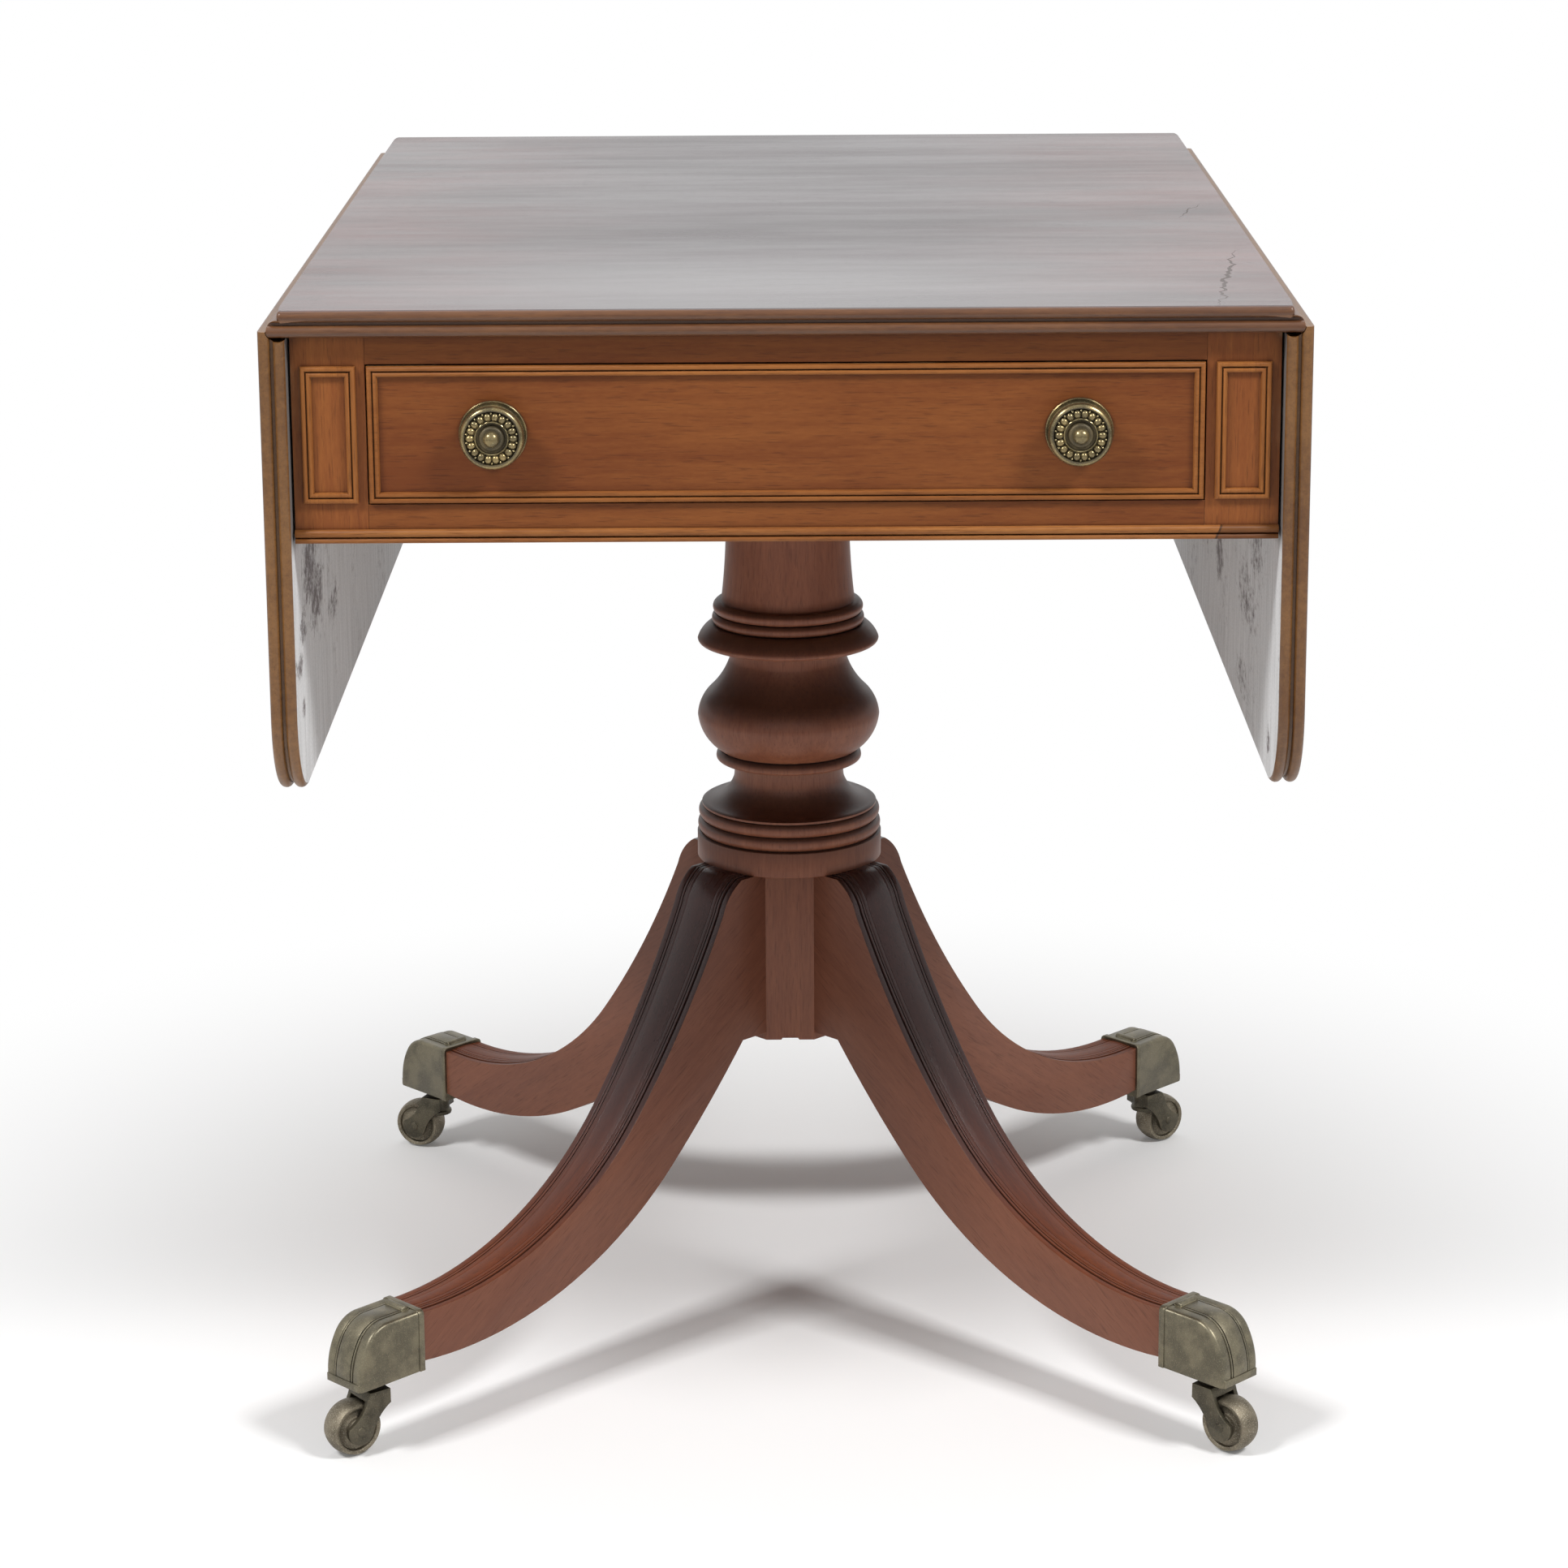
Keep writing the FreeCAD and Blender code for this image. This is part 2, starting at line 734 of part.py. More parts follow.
for end_name, end in (("front", -1), ("rear", 1)):
    along = span(end, frieze_front - size.rail_thick, frieze_front)
    blank = box(f"{end_name}_top_rail_blank", both_ways(post_inner), along, (opening_top, top_under))
    holes = []
    for x, y in top_screw_places:
        if y.value * end > 0:
            holes += top_screw_holes(x, y)
    node(f"{end_name}_top_rail", cut(f"{end_name}_top_rail_cut", blank, holes))
    along = span(end, frieze_front - size.bottom_rail_deep, frieze_front)
    heights = (frieze_bottom, opening_bottom)
    rail = box(f"{end_name}_bottom_rail_block", both_ways(post_inner), along, heights)
    node(f"{end_name}_bottom_rail", rail)

for side_name, side in SIDES.items():
    across = span(side, post_inner, post_inner + size.side_rail_thick)
    rail = box(f"side_rail_{side_name}_board", across, both_ways(post_back), (frieze_bottom, top_under))
    node(f"side_rail_{side_name}", rail)


def bead_frame(name, x, z, y):
    """A picture-frame moulding of two beads with a groove between them, standing out along -Y."""
    def ring(outer, inner):
        rings = []
        for inset in (outer, inner):
            left, right = x[0] + inset, x[1] - inset
            low, high = z[0] + inset, z[1] - inset
            rings.append([(left, low), (right, low), (right, high), (left, high)])
        return rings

    body = new_body(name)
    pad(body, sketch_in(body, "XZ", ring(as_measure(0), size.frame_width), -y), size.frame_proud)
    bead = (size.frame_width - size.frame_groove_wide) / 2
    groove_floor = -y + size.frame_proud - size.frame_groove_deep
    groove = sketch_in(body, "XZ", ring(bead, bead + size.frame_groove_wide), groove_floor)
    feature = body.newObject("PartDesign::Pocket", f"{name}_groove")
    feature.Profile = groove
    feature.Reversed = True
    bind(feature, "Length", size.frame_groove_deep)
    return body


drawer_half = post_inner - size.drawer_gap
front_low = opening_bottom + size.drawer_gap
front_high = opening_top - size.drawer_gap
front_span = (front_low, front_high)

frames = []
for corner, (side, end) in CORNERS.items():
    across = span(side * -end, post_inner + size.panel_margin, frieze_half - size.panel_margin)
    frame = bead_frame(f"panel_{corner}", across, front_span, -frieze_front)
    turn = HALF_TURN if end > 0 else None
    frames.append(place(frame, turn=turn))
node("post_panel_mouldings", group("post_panel_group", frames))


def base_moulding(name):
    """Two half-round beads under the frieze, the upper one larger, standing out along -Y."""
    body = new_body(name)
    low = frieze_bottom
    middle = low + size.base_bead_lower
    high = middle + size.base_bead_upper
    lower = size.base_bead_lower / 2
    upper = size.base_bead_upper / 2
    face = -frieze_front - size.base_back
    corners = [
        (-frieze_front, low),
        (-frieze_front, high),
        (face, high, upper),
        (face - upper, high - upper, upper),
        (face, middle, lower),
        (face - lower, middle - lower, lower),
        (face, low),
    ]
    pad(body, sketch_in(body, "YZ", [corners]), 2 * frieze_half, symmetric=True)
    return body


base_pair = [base_moulding("base_front"), place(base_moulding("base_rear"), turn=HALF_TURN)]
node("base_mouldings", group("base_mouldings_group", base_pair))


# Knobs: turned about Z, then laid to stand out from the drawer
knob_z = (front_low + front_high) / 2
knob_half = size.knob_apart / 2
stem_hole = size.knob_stem_radius + size.knob_clearance
stem_long = size.drawer_front_thick + size.knob_nut_thick + size.knob_stem_past_nut
OUT_FRONT = FreeCAD.Rotation(X_AXIS, 90)
OUT_REAR = FreeCAD.Rotation(X_AXIS, -90)


def knob(name):
    plate = size.knob_plate_thick
    neck = plate + size.knob_neck_long
    rose = neck + size.knob_rose_thick
    floor = rose - size.knob_recess_deep
    boss = floor + size.knob_boss_high
    dome = boss + size.knob_dome_high
    cove = size.knob_neck_long
    dome_arc = (size.knob_boss_radius * size.knob_boss_radius + size.knob_dome_high * size.knob_dome_high)
    return revolve(name, [
        (0, -stem_long),
        (size.knob_stem_radius, -stem_long),
        (size.knob_stem_radius, 0),
        (size.knob_radius, 0),
        (size.knob_radius, plate),
        (size.knob_neck_radius + cove, plate, -cove),
        (size.knob_neck_radius, neck),
        (size.knob_rose_radius, neck, size.knob_rose_thick),
        (size.knob_recess_radius, rose),
        (size.knob_recess_radius, floor),
        (size.knob_boss_radius, floor),
        (size.knob_boss_radius, boss, dome_arc / (2 * size.knob_dome_high)),
        (0, dome),
    ])


def knob_pair(name, y, turn):
    return group(name, [place(knob(f"{name}_turned"), x, y, knob_z, turn) for x in both_ways(knob_half)])


def nut_pair(name, y):
    nuts = []
    for x in both_ways(knob_half):
        blank = rod(f"{name}_blank", "y", size.knob_nut_radius, (x, y, knob_z), size.knob_nut_thick)
        thread = rod(f"{name}_thread", "y", stem_hole, (x, y, knob_z), size.knob_nut_thick)
        nuts.append(cut(f"{name}_ring", blank, [thread]))
    return group(name, nuts)


front_back = frieze_front - size.drawer_front_thick
node("drawer_knobs", knob_pair("drawer_knob", -frieze_front, OUT_FRONT))
node("dummy_knobs", knob_pair("dummy_knob", frieze_front, OUT_REAR))
node("drawer_knob_nuts", nut_pair("drawer_knob_nut", -front_back))
node("dummy_knob_nuts", nut_pair("dummy_knob_nut", front_back - size.knob_nut_thick))


# Drawer front and the dummy front at the rear
def drilled_front(name, end, half, heights):
    along = span(end, front_back, frieze_front)
    blank = box(f"{name}_blank", both_ways(half), along, heights)
    holes = []
    for x in both_ways(knob_half):
        holes.append(rod(f"{name}_hole", "y", stem_hole, (x, along[0], knob_z), size.drawer_front_thick))
    return cut(f"{name}_cut", blank, holes)


front_edges = both_ways(drawer_half)
node("drawer_front", drilled_front("drawer_front", -1, drawer_half, front_span))
node("dummy_drawer_front", drilled_front("dummy_front", 1, post_inner, (opening_bottom, opening_top)))
node("drawer_moulding", bead_frame("drawer_frame", front_edges, front_span, -frieze_front))
rear_frame = bead_frame("dummy_frame", front_edges, front_span, -frieze_front)
node("dummy_drawer_moulding", place(rear_frame, turn=HALF_TURN))

# Drawer box behind its front
side_low = opening_bottom + size.run_gap
side_high = front_high
side_inner = drawer_half - size.drawer_side_thick
box_end = -front_back + size.drawer_long
bottom_low = side_low + size.drawer_bottom_up
bottom_high = bottom_low + size.drawer_bottom_thick
groove_depth = size.drawer_groove + size.groove_clearance
for side_name, side in SIDES.items():
    across = span(side, side_inner, drawer_half)
    board = box(f"drawer_side_{side_name}_board", across, (-front_back, box_end), (side_low, side_high))
    groove = box(f"drawer_side_{side_name}_groove", span(side, side_inner, side_inner + groove_depth),
                 (-front_back, box_end), (bottom_low, bottom_high))
    node(f"drawer_side_{side_name}", cut(f"drawer_side_{side_name}_cut", board, [groove]))
bottom_edges = both_ways(side_inner + size.drawer_groove)
bottom_span = (bottom_low, bottom_high)
node("drawer_bottom", box("drawer_bottom_panel", bottom_edges, (-front_back, box_end), bottom_span))
back_along = (box_end - size.drawer_back_thick, box_end)
back_span = (bottom_high, side_high - size.drawer_back_drop)
node("drawer_back", box("drawer_back_board", both_ways(side_inner), back_along, back_span))

# Runners under the drawer sides, kickers over them and stops behind the drawer front
runner_ends = both_ways(frieze_front - size.bottom_rail_deep)
runners = []
kickers = []
for side in SIDES.values():
    across = span(side, post_inner - size.runner_wide, post_inner)
    heights = (opening_bottom - size.runner_high, opening_bottom)
    runners.append(box("drawer_runner", across, runner_ends, heights))
    rail_ends = both_ways(frieze_front - size.rail_thick)
    kickers.append(box("drawer_kicker", across, rail_ends, (opening_top, top_under)))
node("drawer_runners", group("drawer_runner_pair", runners))
node("drawer_kickers", group("drawer_kicker_pair", kickers))
stop_front = -front_back + size.run_gap
stops = []
for x in both_ways(size.stop_apart / 2):
    across = (x - size.stop_long / 2, x + size.stop_long / 2)
    along = (stop_front, stop_front + size.stop_deep)
    stops.append(box("drawer_stop", across, along, (opening_bottom, opening_bottom + size.stop_high)))
node("drawer_stops", group("drawer_stop_pair", stops))


# Fly brackets on a wooden knuckle beside each side rail
fly_near = post_inner + size.side_rail_thick
fly_far = fly_near + size.fly_thick
knuckle_half = size.fly_thick / 2
fly_axis = fly_near + knuckle_half
fly_top = top_under - size.fly_gap
fly_low = fly_top - size.fly_high
fly_step = size.fly_high / 3
shoulder = knuckle_half + size.fly_gap
blocks = []
fly_pins = []
for side_name, side in SIDES.items():
    axis_x = side * fly_axis
    axis_y = size.fly_pin_back
    tongue = (fly_low + fly_step + size.fly_gap, fly_top - fly_step - size.fly_gap)
    across = span(side, fly_near + size.fly_gap, fly_far)
    bore = size.fly_pin_radius + size.pin_clearance
    name = f"fly_bracket_{side_name}"
    arm = box(f"{name}_arm", across, (axis_y - size.fly_long, axis_y - shoulder), (fly_low, fly_top))
    neck = box(f"{name}_neck", across, (axis_y - size.fly_long / 2, axis_y), tongue)
    eye_start = (axis_x, axis_y, tongue[0])
    eye = rod(f"{name}_eye", "z", knuckle_half - size.fly_gap, eye_start, tongue[1] - tongue[0])
    hole = rod(f"{name}_bore", "z", bore, (axis_x, axis_y, fly_low), size.fly_high)
    node(name, cut(f"{name}_cut", fuse(f"{name}_wood", [arm, neck, eye]), [hole]))
    name = f"fly_block_{side_name}"
    across = span(side, fly_near, fly_far)
    block_end = axis_y + size.fly_block_long
    parts = [box(f"{name}_body", across, (axis_y + shoulder, block_end), (fly_low, fly_top))]
    for low in (fly_low, fly_top - fly_step):
        parts.append(rod(f"{name}_ear", "z", knuckle_half, (axis_x, axis_y, low), fly_step))
        parts.append(box(f"{name}_ear_root", across, (axis_y, block_end), (low, low + fly_step)))
    hole = rod(f"{name}_bore", "z", bore, (axis_x, axis_y, fly_low), size.fly_high)
    blocks.append(cut(f"{name}_cut", fuse(f"{name}_wood", parts), [hole]))
    fly_pins.append(rod("fly_pin", "z", size.fly_pin_radius, (axis_x, axis_y, fly_low), size.fly_high))
node("fly_hinge_blocks", group("fly_block_pair", blocks))
node("fly_pins", group("fly_pin_pair", fly_pins))


# Pedestal: bearer, turned column with its block, and swept legs in sliding dovetails
bearer_top = frieze_bottom + size.bearer_thick
bearer_ends = both_ways(frieze_front - size.bottom_rail_deep)
bearer_edges = both_ways(size.bearer_wide / 2)
bearer_board = box("bearer_board", bearer_edges, bearer_ends, (frieze_bottom, bearer_top))
tenon_room = size.tenon_radius + size.tenon_clearance
tenon_hole = rod("bearer_hole", "z", tenon_room, (0, 0, frieze_bottom), size.bearer_thick)
node("pedestal_bearer", cut("bearer_cut", bearer_board, [tenon_hole]))

block_top = size.block_bottom + size.block_high
flat_half = size.block_flat / 2
block_front = flat_half + size.leg_width_top / root(as_measure(2))
leg_face = (block_front + flat_half) / root(as_measure(2))


def dovetail(name, clearance, low, high):
    """The key on a leg's inner end, narrow at the block's face and wider inside it."""
    body = new_body(name)
    neck = size.dovetail_neck / 2 + clearance
    wide = size.dovetail_wide / 2 + clearance
    deep = leg_face - size.dovetail_deep - clearance
    overlap = leg_face + size.dovetail_clearance
    outline = [(deep, -wide), (overlap, -neck), (overlap, neck), (deep, wide)]
    pad(body, sketch_in(body, "XY", [outline], low), high - low)
    return body


def turned_column():
    """Radii and heights from the block's top up to the bearer, and the tenon through it."""
    collar = block_top + size.collar_high
    reeds = collar + size.reed_ring_high
    bell_foot = reeds + size.reed_ring_high
    neck = bell_foot + size.bell_high
    ring_low = neck + size.lower_ring_neck
    ring_top = ring_low + size.lower_ring_high
    vase = ring_top + size.vase_lower
    upper_neck = vase + size.vase_upper
    flange_under = upper_neck + size.upper_neck_high
    flange = flange_under + size.flange_lower
    flange_top = flange + size.flange_upper
    ring_mid = flange_top + size.ring_high
    shaft = ring_mid + size.ring_high
    ring_half = size.lower_ring_high / 2
    reed_foot = size.collar_radius - size.reed_ring_bulge
    reed_points = [(reed_foot, collar), (reed_foot, reeds), (reed_foot, bell_foot)]
    bell_points = [(size.bell_radius, bell_foot), (size.lower_neck_radius, neck)]
    vase_foot = (size.vase_foot_radius, ring_top)
    vase_middle = (size.vase_radius, vase)
    vase_shoulder = (size.vase_shoulder_radius, vase + size.vase_shoulder)
    vase_neck = (size.upper_neck_radius, upper_neck)
    flange_rim = (size.flange_radius, flange)
    flange_crown = (size.ring_radius + size.ring_bulge, flange_top)
    ring_points = [(size.ring_radius, flange_top), (size.ring_radius, ring_mid), (size.ring_radius, shaft)]
    return revolve("column_turned", [
        (0, block_top),
        (size.collar_radius, block_top),
        (size.collar_radius, collar),
        bulge(reed_points[0], reed_points[1], size.reed_ring_bulge),
        bulge(reed_points[1], reed_points[2], size.reed_ring_bulge),
        reed_points[2],
        hollow(bell_points[0], bell_points[1], size.bell_hollow),
        bell_points[1],
        (size.lower_neck_radius, ring_low),
        (size.lower_ring_radius - ring_half, ring_low, ring_half),
        (size.lower_ring_radius, ring_low + ring_half, ring_half),
        (size.lower_ring_radius - ring_half, ring_top),
        bulge(vase_foot, vase_middle, size.vase_lower_swell),
        bulge(vase_middle, vase_shoulder, size.vase_shoulder_swell),
        hollow(vase_shoulder, vase_neck, size.vase_neck_hollow),
        vase_neck,
        (size.upper_neck_radius, flange_under),
        (size.flange_radius - size.flange_edge, flange_under),
        bulge(flange_rim, flange_crown, size.flange_swell),
        flange_crown,
        bulge(ring_points[0], ring_points[1], size.ring_bulge),
        bulge(ring_points[1], ring_points[2], size.ring_bulge),
        ring_points[2],
        (size.shaft_foot_radius, shaft),
        (size.column_top_radius, frieze_bottom),
        (size.tenon_radius, frieze_bottom),
        (size.tenon_radius, bearer_top),
        (0, bearer_top),
    ])


def column():
    block = new_body("column_block")
    outline = [
        (-flat_half, -block_front),
        (flat_half, -block_front),
        (block_front, -flat_half),
        (block_front, flat_half),
        (flat_half, block_front),
        (-flat_half, block_front),
        (-block_front, flat_half),
        (-block_front, -flat_half),
    ]
    pad(block, sketch_in(block, "XY", [outline], size.block_bottom), size.block_high)
    slots = []
    for corner, degrees in LEG_TURNS.items():
        slot_low = size.block_bottom
        slot_high = block_top - size.dovetail_top + size.dovetail_clearance
        slot = dovetail(f"slot_{corner}", size.dovetail_clearance, slot_low, slot_high)
        slots.append(place(slot, turn=FreeCAD.Rotation(Z_AXIS, degrees)))
    return cut("column_cut", fuse("column_wood", [turned_column(), block]), slots)


node("column", column())

socket_end = size.cap_end - size.cap_wall
leg_end = socket_end - size.cap_fit
tongue_round = size.cap_socket_round - size.cap_fit
tongue_half = size.cap_width / 2 - size.cap_wall - size.cap_fit
cap_low = size.castor_high
stem_top = size.castor_high + size.stem_long
stem_bore = size.stem_radius + size.stem_clearance
bore_high = stem_top + size.stem_end_gap


def leg(corner):
    """The side outline, from the block out to the toe, narrowed in plan and stepped to enter the cap."""
    body = new_body(f"leg_{corner}")
    outline = [
        (leg_face, size.block_bottom + size.leg_back_rise),
        (size.leg_back_out, size.block_bottom + size.leg_back_rise, size.leg_calf_radius),
        (size.leg_calf_out, size.leg_calf_high, size.leg_under_radius),
        (size.cap_start, size.leg_toe_under),
        (leg_end, size.leg_toe_under),
        (leg_end, size.leg_toe_top - tongue_round, tongue_round),
        (leg_end - tongue_round, size.leg_toe_top),
        (size.cap_start, size.leg_toe_top, -size.leg_sweep_radius),
        (size.leg_knee_out, size.leg_knee_high, -size.leg_upper_radius),
        (size.leg_shoulder_out, block_top - size.leg_shoulder_drop, size.leg_shoulder_radius),
        (size.leg_crown_out, block_top),
        (leg_face, block_top),
    ]
    pad(body, sketch_in(body, "XZ", [outline]), size.leg_width_top, symmetric=True)
    root_half = size.leg_width_top / 2
    toe_half = size.leg_width_toe / 2
    outside = root_half + size.cap_wall
    beyond = size.cap_end
    taper = [
        (size.leg_crown_out, root_half),
        (size.cap_start, toe_half),
        (size.cap_start, tongue_half),
        (beyond, tongue_half),
        (beyond, outside),
        (size.leg_crown_out, outside),
    ]
    mirrored = [(u, -v) for u, v in reversed(taper)]
    pocket_through(body, sketch_in(body, "XY", [taper, mirrored]))
    key_low = size.block_bottom + size.dovetail_foot
    key = dovetail(f"key_{corner}", as_measure(0), key_low, block_top - size.dovetail_top)
    bore = rod(f"leg_{corner}_bore", "z", stem_bore, (size.swivel_out, 0, cap_low), bore_high - cap_low)
    return cut(f"leg_{corner}_cut", fuse(f"leg_{corner}_wood", [body, key]), [bore])


def toe_form(name, low, high, end, front, wide):
    """A block over the toe, with the given corners up its rounded front."""
    body = new_body(name)
    outline = [(size.cap_start, low), (end, low), *front, (size.cap_start, high)]
    pad(body, sketch_in(body, "XZ", [outline]), wide, symmetric=True)
    return body


def toe_cap(corner):
    """A cast socket over the leg's toe, with a thick floor for the stem. Its front rises steeply from the
    foot and then turns over the brow."""
    socket_high = size.leg_toe_top + size.cap_fit
    socket_low = size.leg_toe_under - size.cap_fit
    wide = 2 * (tongue_half + size.cap_fit)
    cap_high = socket_high + size.cap_wall
    foot = (size.cap_end, cap_high - size.cap_front_high)
    brow = (size.cap_end - size.cap_brow_back, cap_high - size.cap_brow_drop)
    back = (size.cap_end - size.cap_front_deep, cap_high)
    front = [bulge(foot, brow, size.cap_front_swell), bulge(brow, back, size.cap_brow_swell), back]
    body = toe_form(f"cap_{corner}", cap_low, cap_high, size.cap_end, front, size.cap_width)
    inner = size.cap_socket_round
    front = [(socket_end, socket_high - inner, inner), (socket_end - inner, socket_high)]
    socket = toe_form(f"cap_{corner}_socket", socket_low, socket_high, socket_end, front, wide)
    bore = rod(f"cap_{corner}_bore", "z", stem_bore, (size.swivel_out, 0, cap_low), bore_high - cap_low)
    return cut(f"cap_{corner}_cut", body, [socket, bore])


caps = []
for corner, degrees in LEG_TURNS.items():
    turn = FreeCAD.Rotation(Z_AXIS, degrees)
    node(f"leg_{corner}", place(leg(corner), turn=turn))
    caps.append(place(toe_cap(corner), turn=turn))
node("toe_caps", group("toe_cap_set", caps))


# Castors, drawn about the swivel axis with the wheel trailing along +X
cheek_inner = size.wheel_width / 2 + size.cheek_gap
cheek_outer = cheek_inner + size.cheek_thick
crown_top = size.castor_high - size.swivel_gap
crown_low = crown_top - size.crown_thick
axle_reach = cheek_outer + size.axle_head
axle_hole = size.axle_radius + size.axle_clearance
swivel_step = size.swivel_out / root(as_measure(2))


def castor_fork(name):
    crown = rod(f"{name}_crown", "z", size.crown_radius, (0, 0, crown_low), size.crown_thick)
    stem = rod(f"{name}_stem", "z", size.stem_radius, (0, 0, crown_low), stem_top - crown_low)
    bridge_top = crown_low + size.crown_thick / 2
    bridge_across = both_ways(cheek_outer)
    bridge = box(f"{name}_bridge", both_ways(size.cheek_half), bridge_across, (crown_low, bridge_top))
    trail = size.castor_trail
    boss = size.cheek_boss_radius
    cheek = [
        (-size.cheek_half, bridge_top),
        (-size.cheek_half, crown_low),
        (trail - boss, size.wheel_radius, boss),
        (trail, size.wheel_radius - boss, boss),
        (trail + boss, size.wheel_radius),
        (size.cheek_half, bridge_top),
    ]
    plates = []
    for side in SIDES.values():
        body = new_body(f"{name}_cheek")
        inner = cheek_inner if side < 0 else -cheek_outer
        pad(body, sketch_in(body, "XZ", [cheek], inner), size.cheek_thick)
        plates.append(body)
    hole = rod(f"{name}_hole", "y", axle_hole, (trail, -axle_reach, size.wheel_radius), 2 * axle_reach)
    return cut(f"{name}_cut", fuse(f"{name}_metal", [crown, stem, bridge] + plates), [hole])


def castor_wheel(name):
    half = size.wheel_width / 2
    rim = size.wheel_radius - size.wheel_crown
    tread = (half * half + size.wheel_crown * size.wheel_crown) / (2 * size.wheel_crown)
    return revolve(name, [(axle_hole, -half), (rim, -half, tread), (rim, half), (axle_hole, half)])


def castor_axle(name):
    start = (size.castor_trail, -axle_reach, size.wheel_radius)
    return rod(f"{name}_bar", "y", size.axle_radius, start, 2 * axle_reach)


for corner, (side, end) in CORNERS.items():
    turn = FreeCAD.Rotation(Z_AXIS, CASTOR_TURNS[corner])
    swivel = (side * swivel_step, end * swivel_step, 0)
    node(f"castor_fork_{corner}", place(castor_fork(f"fork_{corner}"), *swivel, turn=turn))
    wheel = place(castor_wheel(f"wheel_{corner}"), size.castor_trail, 0, size.wheel_radius, OUT_REAR)
    held = group(f"wheel_{corner}_held", [wheel])
    node(f"castor_wheel_{corner}", place(held, *swivel, turn=turn))
    held = group(f"axle_{corner}_held", [castor_axle(f"axle_{corner}")])
    node(f"castor_axle_{corner}", place(held, *swivel, turn=turn))


doc.recompute()
faults = [item.Name for item in doc.Objects if set(item.State) & {"Invalid", "Error"}]
for name, piece in NODES.items():
    if piece.Shape.isNull() or not piece.Shape.isValid() or not piece.Shape.Solids:
        faults.append(name)
if faults:
    raise RuntimeError(f"these pieces did not build: {faults}")
os.makedirs("parts", exist_ok=True)
for name, piece in NODES.items():
    piece.Shape.exportStep(f"parts/{name}.step")
    print(name, len(piece.Shape.Solids), "solids", round(piece.Shape.Volume), "mm3")
print(len(NODES), "nodes")
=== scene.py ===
# %% [markdown]
# # A pembroke table in Blender
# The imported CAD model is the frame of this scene: it gives the sizes, the places and the moving bodies.
# Each visible piece is modelled again here as by hand, with softer edges and finer forms, and dressed in a
# procedural finish. The hidden joinery keeps its CAD mesh and only gets a finish.

from math import atan, cos, pi, radians, sin, sqrt

import bmesh
import bpy
from mathutils import Matrix, Vector


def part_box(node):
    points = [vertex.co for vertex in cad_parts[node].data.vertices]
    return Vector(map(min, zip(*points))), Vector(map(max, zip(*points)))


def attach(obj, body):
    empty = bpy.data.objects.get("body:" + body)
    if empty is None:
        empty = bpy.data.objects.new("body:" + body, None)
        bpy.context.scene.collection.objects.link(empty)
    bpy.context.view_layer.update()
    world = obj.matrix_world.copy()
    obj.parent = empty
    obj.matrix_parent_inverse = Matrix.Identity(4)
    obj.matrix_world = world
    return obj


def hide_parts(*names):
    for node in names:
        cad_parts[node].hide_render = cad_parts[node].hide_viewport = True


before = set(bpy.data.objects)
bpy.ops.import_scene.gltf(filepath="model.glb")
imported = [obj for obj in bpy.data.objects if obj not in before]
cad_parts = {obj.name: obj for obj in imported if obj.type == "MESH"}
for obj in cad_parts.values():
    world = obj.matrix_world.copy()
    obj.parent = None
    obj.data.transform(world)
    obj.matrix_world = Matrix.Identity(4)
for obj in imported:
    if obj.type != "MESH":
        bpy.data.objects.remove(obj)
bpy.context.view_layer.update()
MM = 0.001

# %% [markdown]
# ## Hand tools
# A maker repeats a few motions: lay down a primitive, pick some of its faces, draw a line, and finish the
# piece. Each becomes a small function. Lengths are written in millimetres, as on the bench, and turned into
# metres where an operator takes them. Everything is deselected first, because operators act on all that is
# selected and the loaded frame arrives selected.

# %% Tools for starting and picking
def start(add, **settings):
    """Deselect everything, add a primitive and open it in edit mode."""
    bpy.ops.object.select_all(action="DESELECT")
    add(**settings)
    bpy.ops.object.mode_set(mode="EDIT")
    bpy.ops.mesh.select_mode(type="VERT")


def shut():
    """Leave edit mode and hand over the piece."""
    bpy.ops.object.mode_set(mode="OBJECT")
    return bpy.context.object


def hold(piece):
    """Select this piece alone and make it the active one."""
    bpy.ops.object.select_all(action="DESELECT")
    piece.select_set(True)
    bpy.context.view_layer.objects.active = piece


def pick(kind, test):
    """Select the edges or faces whose middle, in mm, passes the test, and count them."""
    bpy.ops.mesh.select_mode(type=kind)
    bpy.ops.mesh.select_all(action="DESELECT")
    mesh = bmesh.from_edit_mesh(bpy.context.object.data)
    count = 0
    for part in mesh.edges if kind == "EDGE" else mesh.faces:
        middle = sum((corner.co for corner in part.verts), Vector()) / len(part.verts) / MM
        if test(middle, part):
            part.select_set(True)
            count += 1
    mesh.select_flush_mode()
    bmesh.update_edit_mesh(bpy.context.object.data)
    return count


def move(x=0, y=0, z=0):
    bpy.ops.transform.translate(value=(x * MM, y * MM, z * MM))


def extrude(x=0, y=0, z=0):
    """Extrude what is picked by a step in mm."""
    bpy.ops.mesh.extrude_region_move(TRANSFORM_OT_translate={"value": (x * MM, y * MM, z * MM)})


def inset(thick, depth):
    bpy.ops.mesh.inset(thickness=thick * MM, depth=depth * MM, use_even_offset=True)


def swell(rise):
    """Extrude what is picked along its normals by a rise in mm."""
    bpy.ops.mesh.extrude_region_shrink_fatten(TRANSFORM_OT_shrink_fatten={"value": rise * MM})

# %% [markdown]
# A moulding or a turning starts as its section. A plane merged to one point is extruded from corner to corner,
# which draws the section as a chain of edges. Arcs are given by their rise over the chord, as a turner reads
# them off with a straight edge.

